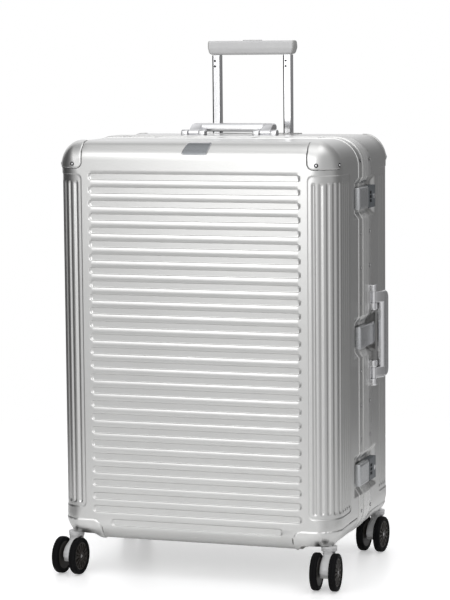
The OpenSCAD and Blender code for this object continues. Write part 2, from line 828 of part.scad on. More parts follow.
place() rear_right_fork();
place() rear_right_axle();
place() rear_right_wheel_inner();
place() rear_right_wheel_outer();
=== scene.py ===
from math import acos, asin, atan2, ceil, copysign, cos, exp, pi, radians, sin, sqrt, tan
import bpy
import numpy as np
from mathutils import Euler, Matrix, Vector

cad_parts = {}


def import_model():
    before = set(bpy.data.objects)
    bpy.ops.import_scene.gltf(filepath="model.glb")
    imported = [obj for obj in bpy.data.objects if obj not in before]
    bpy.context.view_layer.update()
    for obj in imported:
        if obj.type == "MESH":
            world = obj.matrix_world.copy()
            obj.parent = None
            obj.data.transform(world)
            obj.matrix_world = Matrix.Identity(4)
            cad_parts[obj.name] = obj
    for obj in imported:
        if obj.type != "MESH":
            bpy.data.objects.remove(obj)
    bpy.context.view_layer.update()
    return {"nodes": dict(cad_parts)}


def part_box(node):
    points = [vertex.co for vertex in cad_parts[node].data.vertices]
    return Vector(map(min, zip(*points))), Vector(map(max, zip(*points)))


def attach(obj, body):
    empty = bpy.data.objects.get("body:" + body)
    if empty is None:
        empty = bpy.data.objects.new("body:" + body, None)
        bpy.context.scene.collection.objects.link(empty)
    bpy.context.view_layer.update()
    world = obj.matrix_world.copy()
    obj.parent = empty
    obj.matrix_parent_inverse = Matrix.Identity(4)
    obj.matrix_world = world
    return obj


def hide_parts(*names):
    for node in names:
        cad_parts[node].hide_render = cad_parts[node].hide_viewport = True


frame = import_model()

V = np.array

# ---------- frame of the case: millimetres, X from its middle, Y from the seam, Z from the floor ----------
_lo, _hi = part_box("front_shell")
SEAM_GAP = 0.4                          # from the seam to a frame rail
SX = (_lo.x + _hi.x) * 500.0
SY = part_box("front_frame_rail")[1].y * 1000.0 + SEAM_GAP
OFF = V([SX, SY, 0.0])
HX = (_hi.x - _lo.x) * 500.0            # half width of the case
HY = SY - _lo.y * 1000.0                # half depth
Z0, Z1 = _lo.z * 1000.0, _hi.z * 1000.0
MZ, HZ = (Z0 + Z1) / 2, (Z1 - Z0) / 2


def nbox(name):
    """The box of a CAD node in case millimetres."""
    lo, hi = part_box(name)
    return V(lo) * 1000 - OFF, V(hi) * 1000 - OFF


def middle(name):
    """The middle of a CAD node's box in case millimetres."""
    lo, hi = nbox(name)
    return (lo + hi) / 2


LATCH_Z = [round(float(middle(part + "_latch_lever")[2]), 2) for part in ("lower", "centre", "upper")]


# ---------- materials ----------

def new_mat(name):
    m = bpy.data.materials.new(name)
    m.use_nodes = True
    t = m.node_tree
    return m, t, t.nodes["Principled BSDF"]


def put(n, **values):
    """Sets constant inputs of a node by name, with _ for a space."""
    for k, v in values.items():
        n.inputs[k.replace("_", " ")].default_value = v


def link(a, b):
    """Joins output a to input b."""
    a.id_data.links.new(a, b)


def node(t, kind, **values):
    n = t.nodes.new(kind)
    for k, v in values.items():
        setattr(n, k, v)
    return n


def coords(t, scale):
    c = node(t, "ShaderNodeTexCoord")
    m = node(t, "ShaderNodeMapping")
    put(m, Scale=scale)
    link(c.outputs["Object"], m.inputs["Vector"])
    return m.outputs["Vector"]


def noise(t, scale, size=(1, 1, 1), detail=4.0, rough=0.6):
    n = node(t, "ShaderNodeTexNoise")
    put(n, Scale=scale, Detail=detail, Roughness=rough)
    link(coords(t, size), n.inputs["Vector"])
    return n.outputs["Fac"]


def ramp(t, fac, a, b, lo=0.3, hi=0.7):
    """Colour a below lo and b above hi."""
    r = node(t, "ShaderNodeValToRGB")
    for stop, place, colour in zip(r.color_ramp.elements, (lo, hi), (a, b)):
        stop.position = place
        stop.color = (*colour, 1)
    link(fac, r.inputs["Fac"])
    return r.outputs["Color"]


def ranged(t, fac, lo, hi, a=0.3, b=0.7):
    """Value lo at a and hi at b."""
    r = node(t, "ShaderNodeMapRange")
    put(r, From_Min=a, From_Max=b, To_Min=lo, To_Max=hi)
    link(fac, r.inputs["Value"])
    return r.outputs["Result"]


def bump(t, b, height, strength, distance):
    n = node(t, "ShaderNodeBump")
    put(n, Strength=strength, Distance=distance)
    link(height, n.inputs["Height"])
    link(n.outputs["Normal"], b.inputs["Normal"])


def tinted(t, b, colour, vary, scale, detail):
    """Base colour that slowly varies down to a darker shade."""
    dark = tuple(c * (1 - vary) for c in colour)
    link(ramp(t, noise(t, scale, detail=detail), dark, colour), b.inputs["Base Color"])


def metal(name, colour, rough, spread, grain_scale, strength, vary, grain=(1, 1, 1)):
    m, t, b = new_mat(name)
    put(b, Metallic=1.0)
    tinted(t, b, colour, vary, 9, 6)
    fine = noise(t, grain_scale, grain, detail=3)
    link(ranged(t, fine, rough - spread, rough + spread), b.inputs["Roughness"])
    bump(t, b, fine, strength, 0.0001)
    return m


def plastic(name, colour, rough, grain_scale=1400, strength=0.2, vary=0.2, spec=0.35):
    m, t, b = new_mat(name)
    put(b, Specular_IOR_Level=spec)
    tinted(t, b, colour, vary, 30, 5)
    fine = noise(t, grain_scale, detail=2)
    link(ranged(t, fine, rough - 0.06, rough + 0.08), b.inputs["Roughness"])
    bump(t, b, fine, strength, 0.00008)
    return m


def cloth(name, colour, pitch, sheen=0.4, strength=0.5, vary=0.35):
    """Woven cloth: two crossed wave bands at the thread pitch, with slow colour variation."""
    m, t, b = new_mat(name)
    put(b, Sheen_Weight=sheen, Sheen_Roughness=0.5)
    waves = []
    for axis in ("X", "Z"):
        w = node(t, "ShaderNodeTexWave", wave_type="BANDS", bands_direction=axis)
        put(w, Scale=2 * pi / (20 * pitch), Distortion=0.35, Detail=1.0)
        link(coords(t, (1, 1, 1)), w.inputs["Vector"])
        waves.append(w.outputs["Fac"])
    mul = node(t, "ShaderNodeMath", operation="MULTIPLY")
    link(waves[0], mul.inputs[0])
    link(waves[1], mul.inputs[1])
    add = node(t, "ShaderNodeMath", operation="MULTIPLY_ADD")
    link(noise(t, 260, detail=3), add.inputs[0])
    add.inputs[1].default_value = 0.6
    link(mul.outputs[0], add.inputs[2])
    dark = tuple(c * (1 - vary) for c in colour)
    link(ramp(t, add.outputs[0], dark, colour, 0.2, 0.9), b.inputs["Base Color"])
    link(ranged(t, add.outputs[0], 0.95, 0.75), b.inputs["Roughness"])
    bump(t, b, add.outputs[0], strength, 0.0003)
    return m


ALU = metal("anodised_aluminium", (0.60, 0.60, 0.59), 0.32, 0.05, 1500, 0.10, 0.035)
RAIL = metal("frame_aluminium", (0.66, 0.66, 0.65), 0.27, 0.05, 1300, 0.12, 0.05)
CAST = metal("cast_aluminium", (0.66, 0.66, 0.65), 0.36, 0.06, 1100, 0.2, 0.04)
FORK = plastic("fork_casting", (0.60, 0.60, 0.60), 0.38, 900, 0.2, 0.06, 0.6)
HGRIP = metal("handle_grip_metal", (0.70, 0.70, 0.71), 0.24, 0.05, 1000, 0.1, 0.05)
# Near-black for painted shade: the shadow lines round guards and castings and the dark rings round rivets
PAINTED_SHADE_DARK = plastic("shadow_gap", (0.012, 0.012, 0.012), 0.7, 1200, 0.2, 0.2, 0.08)
STEEL = metal("bright_steel", (0.80, 0.80, 0.81), 0.16, 0.04, 700, 0.06, 0.05)
PIN = metal("pin_steel", (0.55, 0.55, 0.56), 0.24, 0.05, 900, 0.1, 0.08)
CHROME = metal("handle_metal", (0.76, 0.76, 0.77), 0.17, 0.04, 800, 0.05, 0.04)
GRIP = plastic("satin_grip", (0.60, 0.60, 0.60), 0.40, 1100, 0.2, 0.05)
TUBE = metal("tube_aluminium", (0.80, 0.80, 0.81), 0.15, 0.04, 60, 0.08, 0.04, (60, 60, 1))
LATCH = metal("latch_metal", (0.52, 0.53, 0.54), 0.28, 0.06, 1100, 0.2, 0.08)
LOCK = plastic("lock_housing", (0.085, 0.095, 0.105), 0.36)
DIAL = plastic("dial_plastic", (0.012, 0.012, 0.013), 0.34)
BLACK = plastic("black_plastic", (0.02, 0.02, 0.022), 0.42)
# Near-black for painted shade along the edges of the trolley tubes
PAINTED_EDGE_SHADE = plastic("tube_painted_edge_shade", (0.035, 0.035, 0.037), 0.5, 1200, 0.2, 0.2, 0.12)
GREY = plastic("grey_plastic", (0.46, 0.46, 0.45), 0.5)
RUBBER = plastic("tread_rubber", (0.004, 0.004, 0.0045), 0.70, 900, 0.4, 0.2, 0.09)
HUB = plastic("hub_bronze", (0.026, 0.022, 0.019), 0.40, 1200, 0.2, 0.2, 0.22)
BADGE = metal("badge_metal", (0.24, 0.25, 0.26), 0.30, 0.05, 50, 0.12, 0.08, (1, 40, 1))
LINING = cloth("lining_cloth", (0.060, 0.064, 0.072), 0.0011)
WEB = cloth("strap_webbing", (0.022, 0.022, 0.024), 0.0016, 0.25, 0.8)


# ---------- mesh helpers ----------

def add_object(name, data):
    ob = bpy.data.objects.new(name, data)
    bpy.context.scene.collection.objects.link(ob)
    return ob


def make(name, verts, faces, mat, body, nodes, slot, angle):
    """Piece on a body, from case millimetres. Edges over the angle are sharp, and None keeps all smooth."""
    me = bpy.data.meshes.new(name)
    v = (np.asarray(verts, float) + OFF) / 1000
    me.from_pydata(v.tolist(), [], [tuple(int(i) for i in f) for f in faces])
    me.polygons.foreach_set("use_smooth", [True] * len(me.polygons))
    if angle is not None:
        me.set_sharp_from_angle(angle=radians(angle))
    me.materials.append(mat)
    ob = add_object(name, me)
    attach(ob, body)
    if nodes:
        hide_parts(*nodes)
    return ob


def add_bevel(ob, width, segments, angle):
    b = ob.modifiers.new("Bevel", "BEVEL")
    b.width = width / 1000
    b.segments = segments
    b.limit_method = "ANGLE"
    b.angle_limit = radians(angle)
    b.harden_normals = True
    b.use_clamp_overlap = True


class Soup:
    """Collects the verts and faces of several shapes into one mesh."""

    def __init__(self):
        self.v, self.f, self.n = [], [], 0

    def add(self, verts, faces, m=None):
        verts = np.asarray(verts, float)
        if m is not None:
            verts = verts @ np.asarray(m)[:3, :3].T + np.asarray(m)[:3, 3]
        self.v.append(verts)
        self.f += [tuple(int(i) + self.n for i in f) for f in faces]
        self.n += len(verts)
        return self

    def get(self):
        return np.concatenate(self.v), self.f


def frame_of(origin, axis):
    """4x4 that takes local Z to axis and puts the origin at a place."""
    z = V(axis, float) / np.linalg.norm(axis)
    u = V([1.0, 0, 0] if abs(z[2]) > 0.95 else [0, 0, 1.0])
    x = np.cross(u, z)
    x /= np.linalg.norm(x)
    m = np.eye(4)
    m[:3, 0], m[:3, 1], m[:3, 2], m[:3, 3] = x, np.cross(z, x), z, origin
    return m


def circle(r, n):
    """Points (x, y) round a circle."""
    return [(r * cos(2 * pi * i / n), r * sin(2 * pi * i / n)) for i in range(n)]


def lathe(profile, n=48, closed=False):
    """Profile of (r, h) turned about local Z. A point with r = 0 is a pole. closed joins its two ends."""
    verts, rings = [], []
    for r, h in profile:
        if r < 1e-6:
            rings.append([len(verts)])
            verts.append((0, 0, h))
        else:
            rings.append(list(range(len(verts), len(verts) + n)))
            verts += [(*p, h) for p in circle(r, n)]
    faces = []
    pairs = list(zip(rings, rings[1:])) + ([(rings[-1], rings[0])] if closed else [])
    for a, b in pairs:
        for i in range(n):
            j = (i + 1) % n
            if len(a) == 1 and len(b) > 1:
                faces.append((a[0], b[j], b[i]))
            elif len(b) == 1 and len(a) > 1:
                faces.append((a[i], a[j], b[0]))
            elif len(a) > 1:
                faces.append((a[i], a[j], b[j], b[i]))
    return V(verts), faces


def loft(rings, cap=True, loop=False):
    """Closed rings of equal length joined into a tube with flat caps, or into a loop."""
    n, m = len(rings[0]), len(rings)
    verts = np.concatenate([np.asarray(r, float) for r in rings])
    faces = []
    for k in range(m if loop else m - 1):
        a, b = k * n, (k + 1) % m * n
        for i in range(n):
            j = (i + 1) % n
            faces.append((a + i, a + j, b + j, b + i))
    if cap:
        faces.append(tuple(range(n))[::-1])
        faces.append(tuple((m - 1) * n + i for i in range(n)))
    return verts, faces


def round_poly(pts, radii, n=6):
    """Polygon with its corners rounded by arcs."""
    out = []
    k = len(pts)
    for i in range(k):
        p, a, b = V(pts[i], float), V(pts[i - 1], float), V(pts[(i + 1) % k], float)
        r = radii[i] if hasattr(radii, "__len__") else radii
        u, w = (a - p) / np.linalg.norm(a - p), (b - p) / np.linalg.norm(b - p)
        ang = acos(max(-1, min(1, float(u @ w))))
        if r <= 0 or ang > pi - 0.02:
            out.append(p)
            continue
        d = min(r / tan(ang / 2), 0.49 * np.linalg.norm(a - p), 0.49 * np.linalg.norm(b - p))
        rr = d * tan(ang / 2)
        c = p + (u + w) / np.linalg.norm(u + w) * (rr / sin(ang / 2))
        s, e = p + u * d - c, p + w * d - c
        a0 = atan2(s[1], s[0])
        a1 = atan2(e[1], e[0])
        da = (a1 - a0 + pi) % (2 * pi) - pi
        for q in range(n + 1):
            t = a0 + da * q / n
            out.append(c + rr * V([cos(t), sin(t)]))
    return V(out)


def round_rect(x0, x1, y0, y1, radii, n):
    return round_poly([(x0, y0), (x1, y0), (x1, y1), (x0, y1)], radii, n)


def inwards(o):
    """Unit directions into a counter-clockwise outline, at its points."""
    d = np.roll(o, -1, 0) - np.roll(o, 1, 0)
    d /= np.linalg.norm(d, axis=1)[:, None]
    return V([-d[:, 1], d[:, 0]]).T


def pillow(outline, w0, w1, r, n=5):
    """Plate with the given flat outline between heights w0 and w1, its edges rounded by r."""
    o = np.asarray(outline, float)
    inward = inwards(o)
    rings = []
    for s in (-1, 1):
        for q in range(n + 1):
            t = (q / n) * pi / 2
            a = pi / 2 - t if s < 0 else t
            inset = r * (1 - cos(a))
            h = (w0 + r - r * sin(a)) if s < 0 else (w1 - r + r * sin(a))
            ring = o + inward * inset
            rings.append(np.column_stack([ring, np.full(len(o), h)]))
    return loft(rings)


# ---------- the case surface ----------
CORE = V([HX - 60, HY - 60, HZ - 60])
HALF = V([HX, HY, HZ])
R_XZ, R_XY, R_YZ = 48.0, 46.0, 28.0


def project(points):
    """Points on the flat-sided box round the case go to its rounded surface."""
    p = np.asarray(points, float) - V([0, 0, MZ])
    c = np.clip(p, -CORE, CORE)
    d = p - c
    u = np.abs(d) / np.maximum(np.linalg.norm(d, axis=1), 1e-9)[:, None]
    u2 = u * u
    wxy, wyz, wxz = u2[:, 0] * u2[:, 1], u2[:, 1] * u2[:, 2], u2[:, 0] * u2[:, 2]
    s = np.maximum(wxy + wyz + wxz, 1e-12)
    r = np.where(wxy + wyz + wxz > 1e-10, (wxy * R_XY + wyz * R_YZ + wxz * R_XZ) / s, 20.0)
    lo, hi = np.zeros(len(p)), np.ones(len(p))
    for _ in range(34):
        t = (lo + hi) / 2
        q = np.abs(c + d * t[:, None])
        e = np.maximum(q - (HALF - r[:, None]), 0)
        out = np.linalg.norm(e, axis=1) > r
        hi = np.where(out, t, hi)
        lo = np.where(out, lo, t)
    return c + d * hi[:, None] + V([0, 0, MZ])


def core_point(p):
    """The point of the case's inner block that is nearest to p."""
    return np.clip(p - V([0, 0, MZ]), -CORE, CORE) + V([0, 0, MZ])


def arc_line(s):
    """Line of the flat box, x of the front face or |y| of the side face, that projects to s.

    s runs along the level section, from the start of its round corner."""
    a = s / R_XY
    if s <= 0:
        return ("x", HX - R_XY + s)
    if a < pi / 2:
        px, py = HX - R_XY + R_XY * sin(a), HY - R_XY + R_XY * cos(a)
    else:
        return ("y", HY - R_XY - (s - R_XY * pi / 2))
    dx, dy = px - CORE[0], py - CORE[1]
    if dx <= dy:
        return ("x", CORE[0] + 60 * dx / dy)
    return ("y", CORE[1] + 60 * dy / dx)


def arc_pos(p):
    """s along the level section, from the start of its round corner, for points on the surface."""
    x, y = np.abs(p[:, 0]), np.abs(p[:, 1])
    ex, ey = x - (HX - R_XY), y - (HY - R_XY)
    a = np.arctan2(np.maximum(ex, 0), np.maximum(ey, 1e-9))
    s = a * R_XY
    s = np.where(ex <= 0, ex, s)
    return np.where((ey <= 0) & (ex > 0), R_XY * pi / 2 - ey, s)


def uniq(vals, tol=0.05):
    """Sorted values, without those that are within tol of the one before."""
    out = []
    for v in sorted(vals):
        if not out or v - out[-1] > tol:
            out.append(v)
    return out


def spread_lines(lines, lo, hi, step):
    """Keeps the given lines between lo and hi, and adds more so that no gap is over step."""
    vals = uniq([v for v in lines if lo <= v <= hi] + [lo, hi])
    out = [vals[0]]
    for a, b in zip(vals, vals[1:]):
        n = max(1, ceil((b - a) / step - 1e-6))
        out += [a + (b - a) * (i + 1) / n for i in range(n)]
    return out


class Grid:
    """Patches of quads on the box round the case, merged by position."""

    def __init__(self):
        self.key, self.pts, self.faces = {}, [], []

    def vid(self, p):
        k = (round(p[0], 3), round(p[1], 3), round(p[2], 3))
        i = self.key.get(k)
        if i is None:
            i = self.key[k] = len(self.pts)
            self.pts.append(p)
        return i

    def patch(self, axis, value, us, vs, keep=None):
        """axis is the one held at value. us and vs are lines on the two others in order X, Y, Z."""
        ids = []
        for u in us:
            row = []
            for v in vs:
                p = {0: (value, u, v), 1: (u, value, v), 2: (u, v, value)}[axis]
                row.append(self.vid(p))
            ids.append(row)
        flip = (value > (MZ if axis == 2 else 0)) != (axis == 1)
        for i in range(len(us) - 1):
            for j in range(len(vs) - 1):
                if keep and not keep((us[i] + us[i + 1]) / 2, (vs[j] + vs[j + 1]) / 2):
                    continue
                q = (ids[i][j], ids[i + 1][j], ids[i + 1][j + 1], ids[i][j + 1])
                self.faces.append(q if flip else q[::-1])

    def zip_strip(self, y, xa, za, xb, zb):
        """Triangles between column x = xa with lines za and column x = xb with lines zb, on the face at y."""
        a = [self.vid((xa, y, z)) for z in za]
        b = [self.vid((xb, y, z)) for z in zb]
        i = j = 0
        flip = (y > 0) == (xb > xa)
        while i < len(za) - 1 or j < len(zb) - 1:
            if j == len(zb) - 1 or (i < len(za) - 1 and za[i + 1] <= zb[j + 1] + 1e-6):
                t = (a[i], b[j], a[i + 1])
                i += 1
            else:
                t = (a[i], b[j], b[j + 1])
                j += 1
            self.faces.append(t[::-1] if not flip else t)


def normals(p, faces):
    """Area weighted vertex normals."""
    n = np.zeros_like(p)
    for size, (a, b, c, d) in ((4, (2, 0, 3, 1)), (3, (1, 0, 2, 0))):
        q = V([f for f in faces if len(f) == size], int).reshape(-1, size)
        cross = np.cross(p[q[:, a]] - p[q[:, b]], p[q[:, c]] - p[q[:, d]])
        for k in range(size):
            np.add.at(n, q[:, k], cross)
    return n / np.maximum(np.linalg.norm(n, axis=1), 1e-12)[:, None]


def outward(p, n):
    """Flips normals so that they point out of the case."""
    s = np.sign(np.sum((p - core_point(p)) * n, axis=1))
    return n * np.where(s == 0, 1, s)[:, None]


def faces_out(v, faces):
    """The faces, each turned to look out of the case."""
    out = []
    for face in faces:
        a, b, c = v[face[0]], v[face[1]], v[face[2]]
        m = v[list(face)].mean(0)
        out.append(face if np.cross(b - a, c - a) @ (m - core_point(m)) > 0 else face[::-1])
    return out


def used_only(v, faces):
    """Drops the points that no face uses. Also gives the numbers of those that stay."""
    used = sorted({i for f in faces for i in f})
    remap = {o: i for i, o in enumerate(used)}
    return v[used], [tuple(remap[i] for i in f) for f in faces], used


def smooth01(t):
    """Smooth step from 0 at t = 0 to 1 at t = 1."""
    t = np.clip(t, 0, 1)
    return t * t * (3 - 2 * t)


# Level grooves of the panel: the lowest is shorter, and all have round ends
GROOVE_PITCH = 23.54
GROOVE_Z = [708.5 - GROOVE_PITCH * k for k in range(27)]
GROOVE_LONG, GROOVE_SHORT, GROOVE_R, GROOVE_DEEP = 387 / 2, 318 / 2, 6.2, 1.8
# Upright flutes round a corner, in a panel that is set in a little
FLUTE_S = [(k + 0.5) * 13.0 for k in range(9)]
FLUTE_HALF, FLUTE_DEEP, FLUTE_MID, FLUTE_REACH = 5.0, 2.0, 415, 282.2
FLUTED_S, FLUTED_Z, FLUTED_DEEP, FLUTED_R = (-4.0, 119.3), (121, 713), 0.9, 9
# Latch recesses: half height, half length and depth, with ramps RAMP long
RECESS_Z, RECESS_Y, RECESS_DEEP, RAMP = 37, 73, 8, 12
EDGE_Y = 18.6


def fold_lines(s_values):
    """Box lines of the corner at the given places along the section."""
    xs, ys = [], []
    for s in s_values:
        k, v = arc_line(s)
        (xs if k == "x" else ys).append(v)
    return xs, ys


def shell_depth(p):
    """Inward depth of the pressed details at points on the case surface."""
    x, y, z = p[:, 0], p[:, 1], p[:, 2]
    ax, ay = np.abs(x), np.abs(y)
    d = np.zeros(len(p))
    # Level grooves across the panel
    panel = ay > HY - 6
    for zk in GROOVE_Z:
        half = GROOVE_SHORT if zk == GROOVE_Z[-1] else GROOVE_LONG
        near = panel & (np.abs(z - zk) < 8) & (ax < half + 2)
        t = GROOVE_R - np.hypot(np.maximum(ax[near] - (half - GROOVE_R), 0), z[near] - zk)
        d[near] += GROOVE_DEEP * smooth01((t + 0.15) / 1.45)
    # Upright flutes round the corners
    s = arc_pos(p)
    up = (s > -8) & (s < 124) & (z > 115) & (z < 720)
    s, zs = s[up], z[up]
    a = np.minimum(s - FLUTED_S[0], FLUTED_S[1] - s)
    b = np.minimum(zs - FLUTED_Z[0], FLUTED_Z[1] - zs)
    corner = (a < FLUTED_R) & (b < FLUTED_R)
    e = np.where(corner, FLUTED_R - np.hypot(FLUTED_R - a, FLUTED_R - b), np.minimum(a, b))
    best = np.zeros(len(s))
    for sk in FLUTE_S:
        t = np.minimum(np.hypot(s - sk, np.maximum(np.abs(zs - FLUTE_MID) - FLUTE_REACH, 0)), FLUTE_HALF)
        best = np.maximum(best, 0.5 + 0.5 * np.cos(pi * t / FLUTE_HALF))
    d[up] += FLUTED_DEEP * smooth01((e + 0.7) / 1.8) + FLUTE_DEEP * best
    # Recesses under the latches
    side = (x > HX - 3) & (ay < 80)
    for zl in LATCH_Z:
        near = side & (np.abs(z - zl) < 42)
        t = np.minimum(RECESS_Z - np.abs(z[near] - zl), RECESS_Y - ay[near]) / RAMP
        d[near] += RECESS_DEEP * smooth01(np.clip(t, 0, 1) * 0.86 + 0.07 * (t > 0))
    return d


BODY = {-1: "lid", 1: "rear_half"}


def build_shell(f):
    """One half of the case. f is -1 for the front half and 1 for the rear."""
    s_vals = [-6.0, -5.2, -4.6, -4.0, -3.4, -2.8, -1.6, 36.128, 117.6, 118.4, 119.3, 120.2, 121.2, 124]
    for sk in FLUTE_S:
        s_vals += [sk + o for o in (-6.5, -5.0, -4.3, -3.5, -2.5, -1.3, 0, 1.3, 2.5, 3.5, 4.3, 5.0)]
    fx, fy = fold_lines(uniq(s_vals, 0.3))
    ends = [187.3, 188.5, 189.7, 190.7, 191.5, 192.2, 192.8, 193.3, 193.8, 195.0]
    last = [152.8, 154, 155.2, 156.2, 157.1, 157.9, 158.5, 159.3]
    tray = [90.0]
    cx = spread_lines(ends + last + tray + [-v for v in ends + last + tray], -200, 200, 32)
    px = spread_lines(fx, 203, HX, 6)
    latch = (0, 12, 22, 24, 25.5, 27, 29, 31, 33, 35, 36.5, 38, 40)
    zs = [64, 118, 119.6, 120.3, 121, 121.7, 122.4, 123.6, 125.2, 127, 128.0, 128.8, 129.8, 131, 132.6, 134]
    zs += [Z0 + Z1 - v for v in zs]
    zs += [zl + s * o for zl in LATCH_Z for s in (-1, 1) for o in latch]
    ends_z = [Z0 + 5.5 * k for k in range(1, 10)] + [Z1 - 5.5 * k for k in range(1, 10)]
    sparse = spread_lines(spread_lines(zs, Z0, Z1, 44) + ends_z, Z0, Z1, 44)
    dense = [z for z in spread_lines(ends_z, Z0, Z1, 30) if z < 84 or z > 720]
    for zk in GROOVE_Z:
        dense += [zk + s * o for s in (-1, 1) for o in (6.4, 6.1, 5.8, 5.5, 5.2, 4.9, 4.5)]
        dense += [zk, zk - GROOVE_PITCH / 2]
    dense = uniq(dense, 0.15)
    tray_y = []
    if f > 0:
        for py in (140.0, 174.0):
            pz = Z1 if py < HY - 28 else Z1 - 28 + sqrt(28 ** 2 - (py - (HY - 28)) ** 2)
            tray_y.append(CORE[1] + 60 * (py - CORE[1]) / (pz - MZ - CORE[2]))
    latch_y = [61 + o for o in (-2, -0.7, 0.7, 2, 4, 6, 8, 10, 11.2, 12.6, 14)]
    ys = sorted(f * v for v in spread_lines(fy + tray_y + latch_y + [42, EDGE_Y], EDGE_Y, HY, 9))
    g = Grid()
    yf = f * HY
    g.patch(1, yf, cx, dense)
    nx = [-v for v in px][::-1]
    g.patch(1, yf, px, sparse)
    g.patch(1, yf, nx, sparse)
    g.zip_strip(yf, cx[-1], dense, px[0], sparse)
    g.zip_strip(yf, cx[0], dense, nx[-1], sparse)
    g.patch(0, HX, ys, sparse)
    g.patch(0, -HX, ys, sparse)
    allx = nx + cx + px
    t0, t1 = sorted(tray_y) if f > 0 else (0, 0)
    g.patch(2, Z1, allx, ys, lambda u, v: not (abs(u) < 90 and t0 < v < t1))
    g.patch(2, Z0, allx, ys)
    base = project(V(g.pts))
    n = outward(base, normals(base, g.faces))
    p = base - n * shell_depth(base)[:, None]
    # Room for the castings
    keep = []
    for face in g.faces:
        c = base[list(face)].mean(0)
        if not (abs(c[0]) > 184 and c[2] < 94 and abs(c[1]) > 50):
            keep.append(face)
    v, keep, _ = used_only(p, keep)
    half = "front" if f < 0 else "rear"
    make(half + "_shell_sheet", v, faces_out(v, keep), ALU, BODY[f], [half + "_shell"],
         "shell_aluminium", None)


# ---------- guards and castings: skins that follow the case ----------

def corner_grid(x0, y0, z_edge, top, step):
    """Grid over one +X -Y corner of the case, outside x0, y0 and z_edge."""
    g = Grid()
    xs = spread_lines([], x0, HX, step)
    ys = [-v for v in spread_lines([], y0, HY, step)][::-1]
    zs = spread_lines([], z_edge, Z1, step) if top else spread_lines([], Z0, z_edge, step)
    g.patch(1, -HY, xs, zs)
    g.patch(0, HX, ys, zs)
    g.patch(2, Z1 if top else Z0, xs, ys)
    base = project(V(g.pts))
    return base, outward(base, normals(base, g.faces)), faces_out(base, g.faces)


def edge_distance(a, b, c, r):
    """Distance in from the rim of a guard, whose outer corners have radius r."""
    q = [np.maximum(r - v, 0) for v in (a, b, c)]
    far = np.minimum(np.minimum(a, b), c)
    e = r - np.sqrt(q[0] ** 2 + q[1] ** 2 + q[2] ** 2)
    return np.where(far > r, far, e)


def open_edges(faces):
    """Directed edges that only one face has, in the order in which the faces name them."""
    edges = dict.fromkeys((a, b) for f in faces for a, b in zip(f, f[1:] + f[:1]))
    return [(a, b) for a, b in edges if (b, a) not in edges]


def trim(v, faces, keep):
    """The faces whose points are all kept."""
    return used_only(v, [f for f in faces if all(keep[list(f)])])


def collar(bore, half, *outer):
    """Ring about local Z from -half to half. outer gives (r, h) of its upper outer edge, inwards last."""
    return [(bore, -half)] + [(r, -h) for r, h in outer[::-1]] + list(outer) + [(bore, half)]


def closed_skin(outer, inner, faces):
    """Solid between two skins with the same faces."""
    n = len(outer)
    out = list(faces) + [tuple(i + n for i in f[::-1]) for f in faces]
    out += [(b, a, a + n, b + n) for a, b in open_edges(faces)]
    return np.concatenate([outer, inner]), out


def mirrored(v, faces, sx, sy):
    w = v * V([sx, sy, 1.0])
    return w, ([f[::-1] for f in faces] if sx * sy < 0 else faces)


def boolean(a, b, op):
    """Exact boolean of two closed meshes given as (verts, faces)."""
    obs = []
    for v, f in (a, b):
        me = bpy.data.meshes.new("tmp")
        me.from_pydata((np.asarray(v) / 1000).tolist(), [], f)
        obs.append(add_object("tmp", me))
    m = obs[0].modifiers.new("b", "BOOLEAN")
    m.operation = op
    m.solver = "EXACT"
    m.object = obs[1]
    dg = bpy.context.evaluated_depsgraph_get()
    me = obs[0].evaluated_get(dg).to_mesh()
    v = V([tuple(x.co) for x in me.vertices]) * 1000
    f = [tuple(p.vertices) for p in me.polygons]
    for ob in obs:
        bpy.data.objects.remove(ob, do_unlink=True)
    return v, f


def shadow_gap(name, body, base, n, faces, e, reach):
    """Painted shadow: a thin near-black skin round the edge of a guard or casting, where shade falls in the
    gap to the shell.
    """
    near = (e > -reach - 1.6) & (e < 2.5)
    h = 0.34 * smooth01((e + reach) / 0.9) - 0.22
    outer, kept, used = trim(base + n * h[:, None], faces, near)
    v, f = closed_skin(outer, (base - n * 0.5)[used], kept)
    s = Soup()
    for sx in (1, -1):
        s.add(*mirrored(v, f, sx, 1 if body == "lid" else -1))
    make(name + "_painted_shadow", *s.get(), PAINTED_SHADE_DARK, body, [], "black_plastic", None)


def top_guards():
    """Sheet guards on the four top corners, made on one corner and mirrored."""
    base, n, faces = corner_grid(203.5, 147.5, 721.5, True, 1.35)
    for name, fy, body, x0 in (("front_top_guards", 1, "lid", 206),
                               ("rear_top_guards", -1, "rear_half", 210.5)):
        e = edge_distance(np.abs(base[:, 0]) - x0, base[:, 2] - 724, np.abs(base[:, 1]) - 150, 9.0)
        h = 1.5 * smooth01((e + 0.9) / 1.3) - 0.25
        outer, kept, used = trim(base + n * h[:, None], faces, e > -1.4)
        v, f = closed_skin(outer, (base - n * 0.6)[used], kept)
        s = Soup()
        for sx in (1, -1):
            s.add(*mirrored(v, f, sx, fy))
        make(name + "_skin", *s.get(), CAST, body, [name], "cast_aluminium", None)
        # Painted shadow line round the edge of the guard
        shadow_gap(name, body, base, n, faces, e, 2.0)


def cone_profile(grow, z_low):
    """Profile of a wheel socket from z_low up, made thicker by grow."""
    slope = 9.0 / 16.0
    r0 = 57 + (58 - z_low) * slope
    return [(r0 + grow, z_low), (50.3 + grow, 70 + grow * 0.4), (49.2 + grow, 72.3 + grow * 0.8),
            (47.4 + grow, 73.6 + grow), (45.0 + grow, 74 + grow)]


# Kingpins of the casters, from the middle of the case
PIN_X, PIN_Y = 235.0, 163.0


